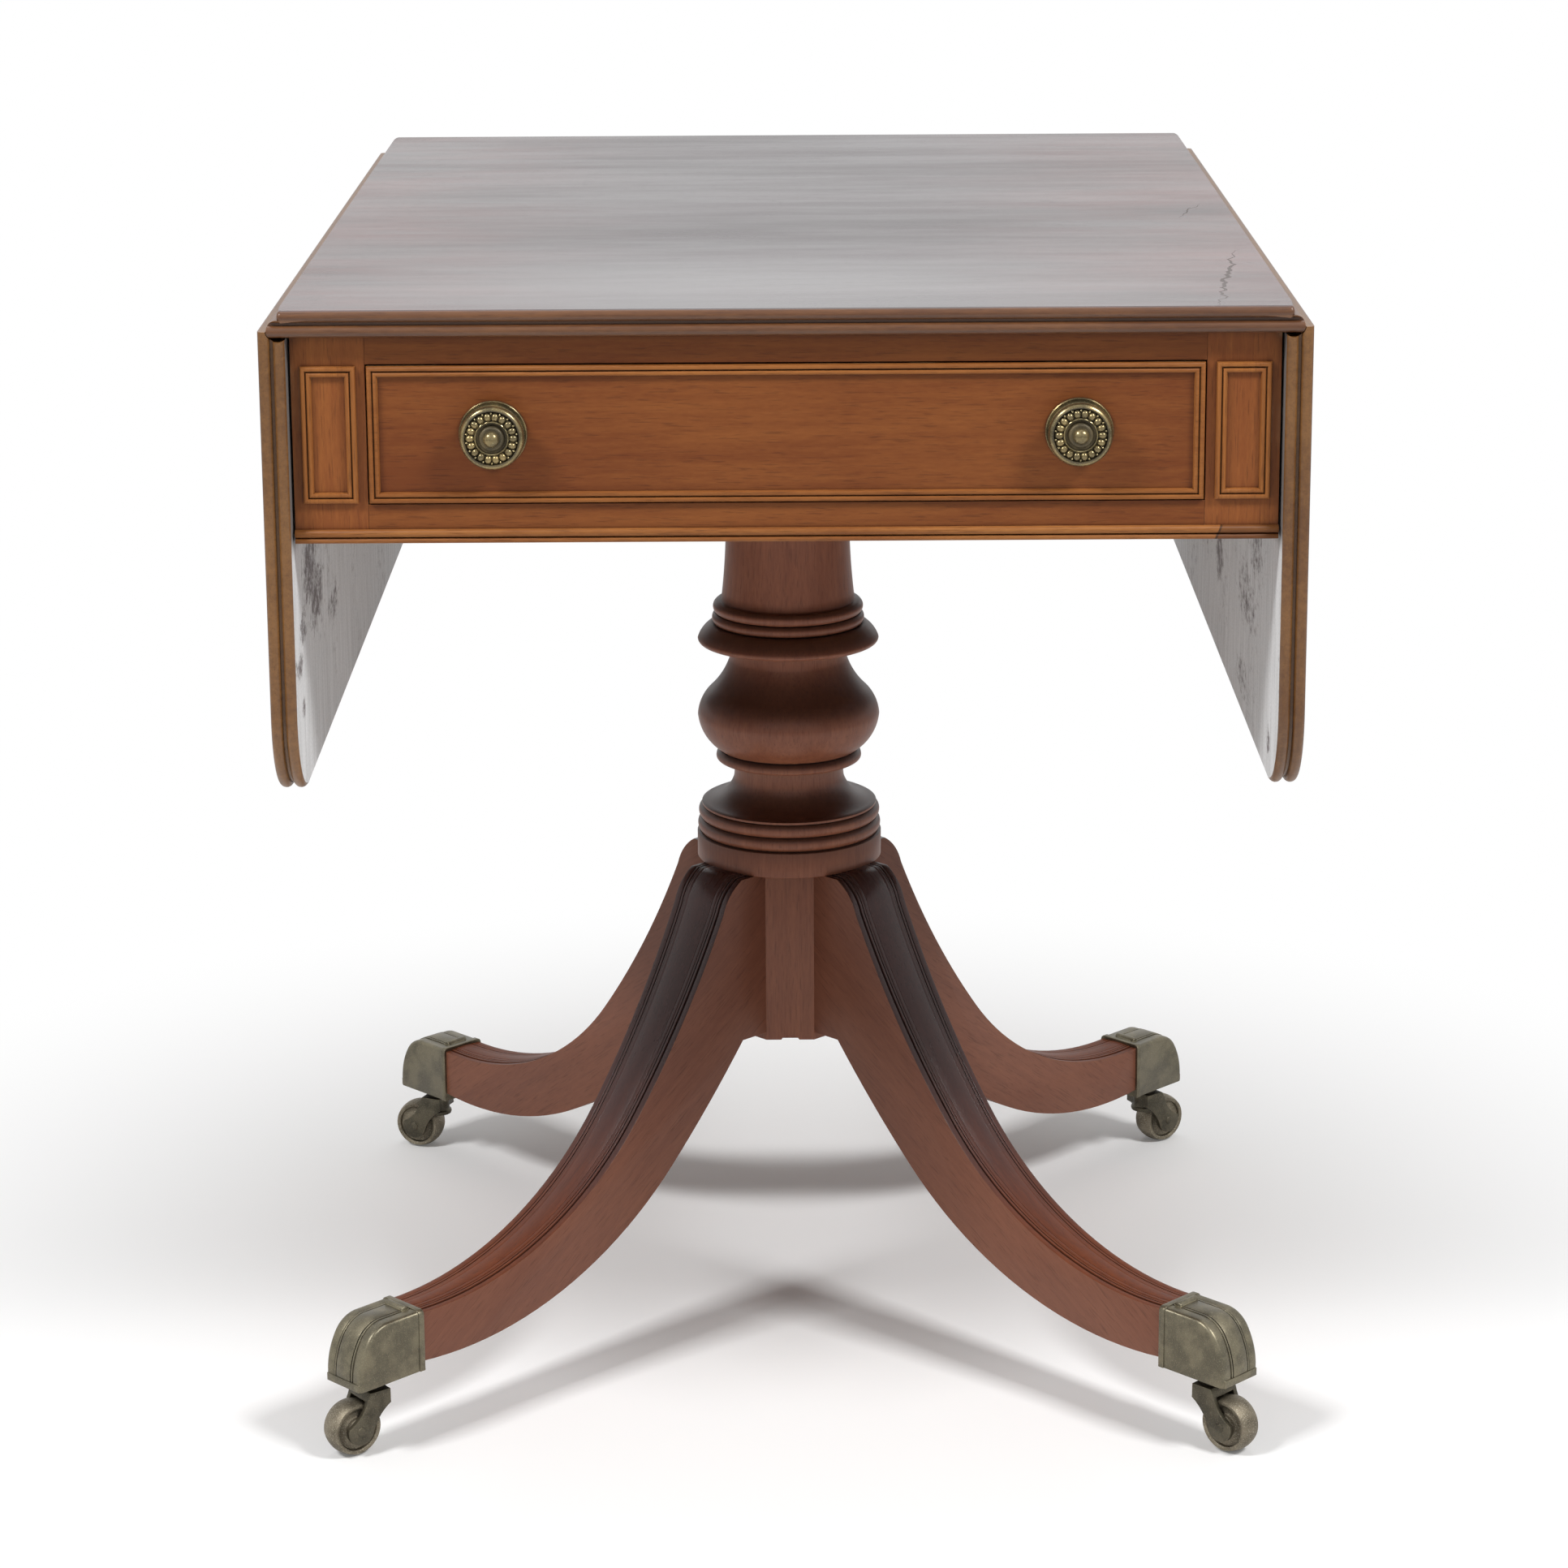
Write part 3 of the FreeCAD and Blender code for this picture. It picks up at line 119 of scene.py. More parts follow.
# %% Tools for drawing sections
def arc(begin, end, rise, steps):
    """Points after begin, up to end, on an arc that stands off its chord by rise to the right of travel."""
    begin, end = Vector(begin), Vector(end)
    half = (end - begin).length / 2
    along = (end - begin) / (2 * half)
    right = Vector((along.y, -along.x))
    sweep = 2 * atan(rise / half)
    radius = half / sin(sweep)
    points = []
    for step in range(1, steps + 1):
        turn = sweep * (2 * step / steps - 1)
        across = radius * sin(turn)
        off = radius * (cos(turn) - cos(sweep))
        points.append(tuple((begin + end) / 2 + along * across + right * off))
    return points


def rise_of(begin, end, radius):
    """The rise of an arc of that radius over its chord."""
    half = (Vector(end) - Vector(begin)).length / 2
    return radius - sqrt(radius * radius - half * half)


def draw_line(points):
    """Draw a chain of edges through points in mm."""
    start(bpy.ops.mesh.primitive_plane_add, size=MM)
    bpy.ops.mesh.merge(type="CENTER")
    move(*points[0])
    for here, there in zip(points, points[1:]):
        extrude(*(Vector(there) - Vector(here)))


def fill_outline(points, facing):
    """Draw a closed outline, fill it with one face and turn that face to look along facing."""
    draw_line(points)
    bpy.ops.mesh.select_all(action="SELECT")
    bpy.ops.mesh.edge_face_add()
    face = bmesh.from_edit_mesh(bpy.context.object.data).faces
    face.ensure_lookup_table()
    if face[0].normal.dot(Vector(facing)) < 0:
        bpy.ops.mesh.flip_normals()


def close_mesh():
    """Merge doubles and turn every face outwards."""
    bpy.ops.mesh.select_all(action="SELECT")
    bpy.ops.mesh.remove_doubles(threshold=1e-6)
    bpy.ops.mesh.normals_make_consistent(inside=False)


def saw_out(outline, half, along="y"):
    """Fill an outline and extrude it along X or Y, as far as half to each side of the middle."""
    if along == "y":
        fill_outline([(x, -half, z) for x, z in outline], (0, -1, 0))
    else:
        fill_outline([(-half, y, z) for y, z in outline], (-1, 0, 0))
    extrude(**{along: 2 * half})
    close_mesh()


def turn_section(points, steps):
    """Turn a section of (radius, height) points about Z, as on a lathe."""
    draw_line([(radius, 0, height) for radius, height in points])
    bpy.ops.mesh.select_all(action="SELECT")
    bpy.ops.mesh.spin(steps=steps, angle=2 * pi, center=(0, 0, 0), axis=(0, 0, 1))
    close_mesh()

# %% [markdown]
# A finished piece has its place in its mesh, rides on a CAD body, gets its finish and hides the plain nodes
# that it stands for. Wood also remembers how its grain lies: an attribute keeps each point's place in
# the plank before the piece is turned, with the grain along the attribute's X.

# %% Tools for finishing
def soften(width, angle, segments=2):
    """Round the sharp edges of the open piece with an applied Bevel modifier."""
    bpy.ops.object.mode_set(mode="OBJECT")
    bpy.ops.object.modifier_add(type="BEVEL")
    bevel = bpy.context.object.modifiers[-1]
    bevel.width = width * MM
    bevel.segments = segments
    bevel.limit_method = "ANGLE"
    bevel.angle_limit = radians(angle)
    bevel.harden_normals = False
    bpy.ops.object.modifier_apply(modifier=bevel.name)


def carve(piece, cutter, operation="DIFFERENCE"):
    """Apply a boolean of the cutter to the piece and remove the cutter."""
    bpy.ops.object.mode_set(mode="OBJECT")
    hold(piece)
    bpy.ops.object.modifier_add(type="BOOLEAN")
    boolean = piece.modifiers[-1]
    boolean.operation = operation
    boolean.object = cutter
    bpy.ops.object.modifier_apply(modifier=boolean.name)
    bpy.data.objects.remove(cutter)


def lay_grain(piece, turn, shift=0.0):
    """Keep each point's place in the plank, turned so that the grain runs along X."""
    grain = piece.data.attributes.new("grain", "FLOAT_VECTOR", "POINT")
    for kept, vertex in zip(grain.data, piece.data.vertices):
        kept.vector = turn @ vertex.co + Vector((shift, 1.7 * shift, 0.6 * shift))


def shade(angle, wide_flats=False):
    """Shade smoothly across edges under the angle. Wide flats are kept from shading into the eased edges."""
    bpy.ops.object.mode_set(mode="OBJECT")
    bpy.ops.object.shade_smooth_by_angle(angle=radians(angle))
    if wide_flats:
        bpy.ops.object.modifier_add(type="WEIGHTED_NORMAL")
        weigh = bpy.context.object.modifiers[-1]
        weigh.weight = 100
        weigh.keep_sharp = True
        bpy.ops.object.modifier_apply(modifier=weigh.name)


def put(piece, turn, place):
    """Turn a piece by degrees about X, Y and Z, move it in mm, and apply both."""
    hold(piece)
    piece.rotation_euler = [radians(angle) for angle in turn]
    piece.location = Vector(place) * MM
    bpy.ops.object.transform_apply(location=True, rotation=True, scale=True)
    return piece


def lay(piece, place):
    """Lay a piece that stands along Z down along Y, at a place in mm."""
    return put(piece, (90, 0, 0), place)


def copy_of(piece, turn=0.0, place=(0, 0, 0)):
    """A copy with its own mesh, turned about Z by degrees and moved in mm."""
    hold(piece)
    bpy.ops.object.duplicate(linked=False)
    return put(bpy.context.object, (0, 0, turn), place)


def join(pieces):
    hold(pieces[0])
    for piece in pieces[1:]:
        piece.select_set(True)
    bpy.ops.object.join()
    return bpy.context.object


def settle(piece, name, body, slot, finish, *nodes):
    """Name the piece, give it its finish, and let it ride on its body in place of the nodes."""
    piece.name = name
    piece.data.name = name
    if not piece.data.materials:
        piece.data.materials.append(finish)
    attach(piece, body)
    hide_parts(*nodes)
    print(name, len(piece.data.polygons), "faces on", body)


GRAIN_X = Matrix.Identity(3)
GRAIN_Y = Matrix(((0, 1, 0), (0, 0, 1), (1, 0, 0)))
GRAIN_Z = Matrix(((0, 0, 1), (1, 0, 0), (0, 1, 0)))
CORNERS = {"front_left": 225, "front_right": 315, "rear_left": 135, "rear_right": 45}

# %% [markdown]
# ## Finishes
# Every finish is a small node tree. Shader maths reads best as sums and products, so one class wraps a socket
# and turns Python's operators into Math nodes. One method adds any other node: first its settings, then its
# sockets, because some settings change which sockets there are.

# %% Tools for shader nodes
class Value:
    """A socket of a finish: arithmetic on it adds Math nodes."""

    def __init__(self, finish, socket):
        self.finish = finish
        self.socket = socket

    def __add__(self, other):
        return self.finish.math("ADD", self, other)

    def __radd__(self, other):
        return self.finish.math("ADD", other, self)

    def __sub__(self, other):
        return self.finish.math("SUBTRACT", self, other)

    def __rsub__(self, other):
        return self.finish.math("SUBTRACT", other, self)

    def __mul__(self, other):
        return self.finish.math("MULTIPLY", self, other)

    def __rmul__(self, other):
        return self.finish.math("MULTIPLY", other, self)

    def __abs__(self):
        return self.finish.math("ABSOLUTE", self, 0.0)


class Finish:
    """A material, or the world, whose nodes are added one by one."""

    def __init__(self, name, kind=bpy.data.materials):
        self.made = kind.new(name)
        self.made.use_nodes = True
        self.tree = self.made.node_tree
        self.tree.nodes.clear()

    def add(self, kind, settings=None, inputs=None, output=0):
        """Add a node, set its settings, then its sockets, and return one of its outputs."""
        node = self.tree.nodes.new("ShaderNode" + kind)
        for name, setting in (settings or {}).items():
            setattr(node, name, setting)
        for name, given in (inputs or {}).items():
            if isinstance(given, Value):
                self.tree.links.new(given.socket, node.inputs[name])
            else:
                node.inputs[name].default_value = given
        return Value(self, node.outputs[output]) if node.outputs else None

    def math(self, operation, first, second):
        return self.add("Math", {"operation": operation}, {0: first, 1: second})

    def most(self, first, second):
        return self.math("MAXIMUM", first, second)

    def far(self, across, up):
        """How far a point lies from 0, given its two distances."""
        return self.math("SQRT", across * across + up * up, 0.0)

    def mix(self, share, first, second):
        """Mix two colours."""
        return self.add("Mix", {"data_type": "RGBA"}, {0: share, 6: first, 7: second}, 2)

    def step(self, value, low, high):
        """A soft step from 0 at low to 1 at high."""
        inputs = {"Value": value, "From Min": low, "From Max": high}
        return self.add("MapRange", {"interpolation_type": "SMOOTHSTEP"}, inputs)

    def stretch(self, vector, scale):
        return self.add("VectorMath", {"operation": "MULTIPLY"}, {0: vector, 1: scale})

    def noise(self, vector, scale, detail=2.0, rough=0.5):
        inputs = {"Vector": self.stretch(vector, scale), "Scale": 1.0, "Detail": detail, "Roughness": rough}
        return self.add("TexNoise", inputs=inputs)

    def place(self):
        return self.add("TexCoord", output="Object")

    def grain(self):
        """Each point's place in its plank."""
        return self.add("Attribute", {"attribute_name": "grain"}, output="Vector")

    def axes(self, vector):
        """The X, Y and Z of a vector."""
        node = self.add("SeparateXYZ", inputs={0: vector}).socket.node
        return [Value(self, socket) for socket in node.outputs]

    def recess(self, reach, local=True, inside=False):
        """1 deep in a groove of the piece, or close under its neighbours, and 0 on open faces."""
        settings = {"samples": 8, "only_local": local, "inside": inside}
        return 1 - self.add("AmbientOcclusion", settings, {"Distance": reach * MM}, "AO")

    def crest(self, reach):
        """1 along the piece's sharp edges, which are its grooves as seen from inside, 0 on its faces."""
        return self.recess(reach, inside=True)

    def surface(self, bump, bump_depth, **sockets):
        """Close the tree with a Principled surface and a bump of that depth in mm."""
        named = {name.replace("_", " "): given for name, given in sockets.items()}
        named["Normal"] = self.add("Bump", inputs={"Height": bump, "Distance": bump_depth * MM, "Strength": 1.0})
        shader = self.add("BsdfPrincipled", inputs=named)
        self.add("OutputMaterial", inputs={0: shader})
        return self.made


def colour(red, green, blue):
    """A colour given as its bytes on screen, in linear light."""
    linear = [((c / 255 + 0.055) / 1.055) ** 2.4 if c > 10 else c / 255 / 12.92 for c in (red, green, blue)]
    return (*linear, 1.0)

# %% [markdown]
# Mahogany shows three scales of figure: broad bands along the plank, fine streaks inside them, and short dark
# pores. All three are noise stretched along the grain. Ambient occlusion then darkens every groove, partly with
# old polish and partly with painted shade, and the polish rubs pale on the crests. Where asked, painted shade also
# darkens the wood close under neighbouring pieces, as under the top's overhang, with a little pale wax in the
# corners.

# %% The shared mahogany tree
def mahogany(finish, grain, dark, light, dirt, wear, reach=3.0, corners=0.0):
    """Colour, a roughness offset and a bump height for polished old mahogany."""
    broad = finish.noise(grain, (2.2, 19.0, 19.0), 3.0)
    streak = finish.noise(grain, (14.0, 260.0, 260.0), 4.0, 0.6)
    fleck = finish.noise(grain, (130.0, 620.0, 620.0), 3.0, 0.65)
    pores = finish.step(finish.noise(grain, (70.0, 1100.0, 1100.0), 2.0), 0.56, 0.70)
    cloud = finish.noise(grain, (9.0, 11.0, 11.0), 2.0)
    share = finish.step(broad * 0.35 + streak * 0.3 + fleck * 0.2 + cloud * 0.25, 0.38, 0.74)
    shade_of_wood = finish.mix(share, dark, light)
    shade_of_wood = finish.mix(pores * 0.3, shade_of_wood, colour(46, 20, 10))
    # Grooves darken partly with old polish and partly with painted shade.
    grime = finish.recess(reach)
    shade_of_wood = finish.mix(finish.step(grime, 0.18, 0.75) * dirt, shade_of_wood, colour(30, 18, 14))
    # Painted shade close under neighbouring pieces, as under the top's overhang; pale wax gathers in the corners.
    if corners:
        close = finish.recess(9.0, local=False)
        painted_corner_shade = finish.step(close + cloud * 0.2, 0.2, 0.75) * corners
        shade_of_wood = finish.mix(painted_corner_shade, shade_of_wood, colour(48, 26, 18))
        wax = finish.step(close, 0.5, 0.62) * finish.step(finish.noise(grain, (26.0, 26.0, 26.0), 3.0), 0.52, 0.62)
        shade_of_wood = finish.mix(wax * 0.5, shade_of_wood, colour(190, 164, 128))
    rubbed = finish.step(finish.crest(1.2), 0.25, 0.8) * wear
    shade_of_wood = finish.mix(rubbed, shade_of_wood, colour(190, 130, 76))
    rougher = streak * 0.08 + cloud * 0.08 + finish.step(grime, 0.2, 0.8) * 0.25
    height = streak * 0.35 + fleck * 0.25 + cloud * 0.4 - pores * 0.5
    return shade_of_wood, rougher, height


# The slanting joint (m) near the right end of the front base moulding, past which its wood was mended.
MEND_X, MEND_Z, MEND_SLANT = 0.2397, 0.594, 0.4
FRONT_Y = -0.30, -0.31


def wood_finish(
    name, dark, light, dirt=0.8, wear=0.3, gloss=0.36, reach=3.0, corners=0.0, painted_up_shade=0.0, sheen=0.3, mended=False
):
    """Mahogany on a piece that remembers its grain. Painted shade darkens the faces that look up."""
    finish = Finish(name)
    grain = finish.grain()
    tone, rougher, height = mahogany(finish, grain, dark, light, dirt, wear, reach, corners)
    if painted_up_shade:
        # Painted shade: the faces that look up are darkened.
        up = finish.axes(finish.add("NewGeometry", output="Normal"))[2]
        tone = finish.mix(finish.step(up, 0.02, 0.62) * painted_up_shade, tone, colour(36, 24, 24))
    if mended:
        x, y, z = finish.axes(finish.place())
        past = (x - MEND_X) - (z - MEND_Z) * MEND_SLANT
        front = finish.step(y, *FRONT_Y)
        tone = finish.mix(finish.step(past, 0.0, 0.0004) * front * 0.5, tone, colour(64, 36, 24))
        tone = finish.mix((1 - finish.step(abs(past), 0.0003, 0.0009)) * front * 0.8, tone, colour(30, 18, 12))
    return finish.surface(
        bump=height,
        bump_depth=0.06,
        Base_Color=tone,
        Roughness=rougher + gloss,
        Specular_IOR_Level=sheen,
    )


# The corners share sets how much painted shade darkens the wood close under neighbouring pieces.
frieze_wood = wood_finish(
    "frieze_mahogany", colour(106, 55, 25), colour(133, 78, 37), wear=0.2, corners=0.75, sheen=0.2
)
post_wood = wood_finish(
    "post_mahogany", colour(122, 67, 33), colour(152, 93, 46), wear=0.2, corners=0.6, sheen=0.2
)
bead_wood = wood_finish(
    "bead_mahogany", colour(118, 68, 32), colour(155, 98, 48), dirt=0.95, wear=0.3, reach=1.1, sheen=0.2
)
base_bead_wood = wood_finish(
    "base_bead_mahogany", colour(122, 72, 36), colour(164, 108, 56), dirt=0.95, wear=0.3, reach=1.1, sheen=0.2,
    mended=True
)
# The column's faces that look up get painted shade.
column_wood = wood_finish(
    "turned_mahogany", colour(110, 63, 44), colour(136, 84, 59), dirt=0.95, wear=0.25, gloss=0.28, painted_up_shade=0.72
)
leg_wood = wood_finish("leg_mahogany", colour(106, 64, 48), colour(126, 80, 60), dirt=0.7, wear=0.5, gloss=0.4)
woods = frieze_wood, post_wood, bead_wood, base_bead_wood, column_wood, leg_wood
print("wood finishes:", [wood.name for wood in woods])

# %% [markdown]
# The legs' reeded tops are darkened near the column with painted shade, as from the table above, and turn
# red towards the toes, so the colour follows the distance from the column.

# %% Leg top finish
def leg_top_finish():
    finish = Finish("leg_top_mahogany")
    grain = finish.grain()
    x, y, _ = finish.axes(finish.place())
    # Painted shade darkens the top near the column; towards the toe the red wood shows.
    away_from_shade = finish.step(finish.far(x, y) + finish.noise(grain, (20.0, 60.0, 60.0)) * 0.06, 0.14, 0.31)
    dark = finish.mix(away_from_shade, colour(52, 30, 28), colour(80, 36, 17))
    light = finish.mix(away_from_shade, colour(70, 42, 39), colour(114, 57, 27))
    tone, rougher, height = mahogany(finish, grain, dark, light, 0.8, 0.1, 2.0)
    return finish.surface(
        bump=height,
        bump_depth=0.06,
        Base_Color=tone,
        Roughness=rougher + away_from_shade * 0.25 + 0.2,
        Specular_IOR_Level=0.3,
    )


leg_top_wood = leg_top_finish()
print("leg top finish:", leg_top_wood.name)

# %% [markdown]
# The top is dark red-brown under a clear polish. Seen low, the polish mirrors the pale room, so the colour
# stays dark and the gloss does the rest, most of all in the middle of the front, where hands have rubbed it. A
# shrinkage crack runs in from the front edge: its path is a straight line pushed sideways by noise, and its width
# fades at both ends. A fainter one lies further back.

# %% Top and leaf polish
# Each crack has a point (x, y) on its line, the line's lean, the two ends along Y, and a width (m).
SPLIT = (0.2332, -0.3882), 0.1436, (-0.40, -0.14), 0.0016
HAIR = (0.2414, -0.0476), 0.3, (-0.055, 0.03), 0.0007
# The polished faces begin here (m): above this height on the top, further out than this on a leaf.
TOP_FACE_Z = 0.7193, 0.7199
LEAF_FACE_X = 0.2878, 0.2884
HANDLED_Y, HANDLED_DEPTH = -0.33, 3.0 ** 0.5


def crack(finish, x, y, begin, slope, ends, width):
    """1 inside a ragged crack whose line goes through begin and leans by slope, between two ends along Y."""
    wander = finish.add("TexNoise", {"noise_dimensions": "1D"}, {"W": y, "Scale": 55.0, "Detail": 4.0}) - 0.5
    line = begin[0] + (y - begin[1]) * slope + wander * 0.012
    middle = (ends[0] + ends[1]) / 2
    fade = 1 - finish.step(abs(y - middle), 0.0, (ends[1] - ends[0]) / 2)
    wide = fade * (0.4 + finish.noise(finish.place(), (0.0, 160.0, 0.0))) * width
    return finish.step(wide - abs(x - line), 0.0, 0.0004)


def polish_finish(name, edges, faces, cracked):
    finish = Finish(name)
    grain = finish.grain()
    x, y, z = finish.axes(finish.place())
    face = finish.step(z, *TOP_FACE_Z) if cracked else finish.step(abs(x), *LEAF_FACE_X)
    dark = finish.mix(face, edges[0], faces[0])
    rosy = finish.mix(finish.step(abs(x), 0.06, 0.27), faces[1], faces[2])
    light = finish.mix(face, edges[1], rosy)
    tone, rougher, height = mahogany(finish, grain, dark, light, 0.85, 0.16, 2.0)
    dents = finish.step(finish.noise(grain, (110.0, 260.0, 260.0), 1.0), 0.70, 0.76) * face
    tone = finish.mix(dents * 0.6, tone, colour(40, 24, 20))
    height = height - dents * 1.5
    sweep = finish.noise(grain, (3.2, 16.0, 16.0), 4.0, 0.6) + finish.noise(grain, (9.0, 70.0, 70.0), 3.0) * 0.35
    dull = 0.245 - finish.step(sweep, 0.42, 0.95) * 0.1
    fresh = 0.0
    if cracked:
        handled = 1 - finish.step(finish.far(x, (y - HANDLED_Y) * HANDLED_DEPTH), 0.0, 0.42)
        fresh = handled * face * 0.55
        split = finish.most(crack(finish, x, y, *SPLIT), crack(finish, x, y, *HAIR)) * face
        tone = finish.mix(split, tone, colour(44, 24, 16))
        height = height - split * 6.0
        rougher = rougher + split * 0.5
    return finish.surface(
        bump=height,
        bump_depth=0.035,
        Base_Color=tone,
        Roughness=rougher * 0.4 + face * dull + (1 - face) * 0.33,
        Specular_IOR_Level=0.5,
        Coat_Weight=fresh,
        Coat_Roughness=0.2,
    )


top_edges = colour(76, 44, 25), colour(112, 73, 42)
top_faces = colour(33, 22, 25), colour(54, 38, 43), colour(92, 47, 44)
top_polish = polish_finish("top_polish", top_edges, top_faces, True)
leaf_edges = colour(90, 57, 28), colour(128, 89, 48)
leaf_red = colour(92, 50, 34)
leaf_polish = polish_finish("leaf_polish", leaf_edges, (colour(44, 24, 18), leaf_red, leaf_red), False)
print("top and leaf polish:", top_polish.name, leaf_polish.name)

# %% [markdown]
# The leaves' inner faces were never polished. They are grey with age and dust, partly as a painted sheen, darker
# beside the frieze with painted shade, and blotched with dark stains. A stain's place is a soft oval, and noise
# added to it before a step breaks the oval up into a ragged blot.

# %% Leaf back finish
# Each stain's middle along Y and Z, its half sizes (m) and its strength.
LEFT_STAINS = (
    (-0.285, 0.560, 0.050, 0.034, 1.0), (-0.255, 0.534, 0.050, 0.026, 1.0), (-0.165, 0.509, 0.040, 0.018, 0.7),
    (-0.325, 0.532, 0.024, 0.014, 0.9), (-0.347, 0.514, 0.026, 0.009, 1.0), (-0.335, 0.487, 0.012, 0.009, 1.0),
)
RIGHT_STAINS = (
    (-0.031, 0.505, 0.030, 0.028, 1.0), (-0.197, 0.515, 0.080, 0.030, 0.65), (-0.240, 0.555, 0.050, 0.030, 0.7),
    (-0.175, 0.462, 0.050, 0.018, 0.65), (-0.320, 0.461, 0.012, 0.012, 1.0), (0.060, 0.520, 0.080, 0.040, 0.6),
)
# The heights (m) between which the painted shade beside the frieze begins.
SHADE_BESIDE_FRIEZE_Z = 0.578, 0.594


def stains(finish, y, z, places):
    """Each stain's strength in its middle, falling to 0 outside it."""
    spread = 0.0
    for middle_y, middle_z, half_y, half_z, strength in places:
        across, down = (y - middle_y) * (1 / half_y), (z - middle_z) * (1 / half_z)
        spot = 1 - finish.step(finish.far(across, down), 0.2, 1.2)
        spread = finish.most(spread, spot * strength)
    return spread


def dust_and_sheen_finish():
    finish = Finish("leaf_back_dust_and_sheen")
    place = finish.place()
    x, y, z = finish.axes(place)
    runs = finish.noise(place, (0.0, 190.0, 14.0), 4.0, 0.65)
    speck = finish.noise(place, (0.0, 900.0, 620.0), 3.0, 0.7)
    patch = finish.noise(place, (40.0, 11.0, 7.0), 2.0)
    # Pale grey of dust, partly a painted sheen.
    tone = finish.mix(finish.step(runs * 0.5 + speck * 0.5, 0.3, 0.7), colour(186, 187, 187), colour(228, 229, 230))
    right = finish.step(x, -0.01, 0.01)
    spread = stains(finish, y, z, LEFT_STAINS) * (1 - right) + stains(finish, y, z, RIGHT_STAINS) * right
    blot = finish.noise(place, (0.0, 75.0, 130.0), 6.0, 0.75)
    stain = finish.step(blot + spread * 0.28, 0.58, 0.84)
    faint = finish.step(patch, 0.5, 0.65) * finish.step(blot, 0.5, 0.62) * 0.35
    tone = finish.mix(finish.most(stain, faint) * 0.85, tone, colour(82, 68, 69))
    # Painted shade on the strip beside the frieze.
    tone = finish.mix(finish.step(z, *SHADE_BESIDE_FRIEZE_Z) * 0.85, tone, colour(62, 48, 40))
    tone = finish.mix(finish.step(speck, 0.62, 0.8) * 0.3, tone, colour(120, 114, 112))
    return finish.surface(bump=speck + runs, bump_depth=0.15, Base_Color=tone, Roughness=0.85)


leaf_dust_and_sheen = dust_and_sheen_finish()
print("leaf back finish:", leaf_dust_and_sheen.name)

# %% [markdown]
# Old brass is dull olive where it has tarnished, black in its recesses and bright only where hands and floors
# rub it. One tree serves the toe caps, forks, knobs and wheels, with different shares of each. The knobs are also
# black with grime in the dish round their button and in the gutter inside their rim.

# %% Brass finishes
KNOB_X, KNOB_Z = 161.5, 649.25
# The radii (m) between which a knob's dish and gutter begin, and between which they end.
DISH = (0.0038, 0.0046), (0.0086, 0.0096)
GUTTER = (0.0146, 0.0150), (0.0156, 0.0160)


def brass_finish(name, tarnish, metal, bright, dull, speckle=0.25, dirt=0.9, dished=False):
    finish = Finish(name)
    place = finish.place()
    cloud = finish.noise(place, (70.0, 70.0, 70.0), 4.0, 0.6)
    grit = finish.noise(place, (1500.0, 1500.0, 1500.0), 2.0, 0.6)
    tone = finish.mix(finish.step(cloud, 0.36, 0.66), tarnish, metal)
    tone = finish.mix(finish.step(grit, 0.5, 0.75) * speckle, tone, bright)
    grime = finish.step(finish.recess(2.5), 0.2, 0.8)
    if dished:
        x, _, z = finish.axes(place)
        radius = finish.far(abs(x) - KNOB_X * MM, z - KNOB_Z * MM)
        dish, gutter = (
            finish.step(radius, *begin) * (1 - finish.step(radius, *end)) for begin, end in (DISH, GUTTER)
        )
        grime = finish.most(grime, dish * 0.8 + gutter * 0.9)
    tone = finish.mix(grime * dirt, tone, colour(34, 28, 22))
    rubbed = finish.step(finish.crest(0.9), 0.25, 0.75)
    tone = finish.mix(rubbed * 0.7, tone, bright)
    return finish.surface(
        bump=cloud * 0.6 + grit * 0.3,
        bump_depth=0.08,
        Base_Color=tone,
        Metallic=0.75 - grime * 0.4,
        Roughness=cloud * 0.16 + grime * 0.3 - rubbed * 0.12 + dull,
    )


cap_brass = brass_finish("toe_cap_brass", colour(92, 87, 73), colour(118, 111, 92), colour(190, 180, 150), dull=0.3)
fork_brass = brass_finish("fork_brass", colour(66, 62, 52), colour(92, 86, 72), colour(160, 150, 124), dull=0.34)
knob_brass = brass_finish(
    "knob_brass", colour(100, 90, 66), colour(146, 128, 88), colour(236, 220, 168), dull=0.18, dirt=0.8, dished=True
)
wheel_brass = brass_finish(
    "wheel_brass", colour(96, 88, 74), colour(128, 119, 102), colour(196, 188, 168), dull=0.46, speckle=0.6
)
print("brass:", cap_brass.name, fork_brass.name, knob_brass.name, wheel_brass.name)

# %% [markdown]
# Two plain finishes serve what is hidden: dark iron with rusty patches for the hinges and screws, and a bare,
# straight-grained wood for the boards inside, made once for each direction of the grain.

# %% Iron and bare wood
def iron_finish():
    finish = Finish("dark_iron")
    scale = finish.noise(finish.place(), (260.0, 260.0, 260.0), 4.0, 0.65)
    tone = finish.mix(finish.step(scale, 0.4, 0.7), colour(52, 48, 45), colour(92, 74, 58))
    return finish.surface(bump=scale, bump_depth=0.1, Base_Color=tone, Metallic=0.8, Roughness=scale * 0.3 + 0.4)


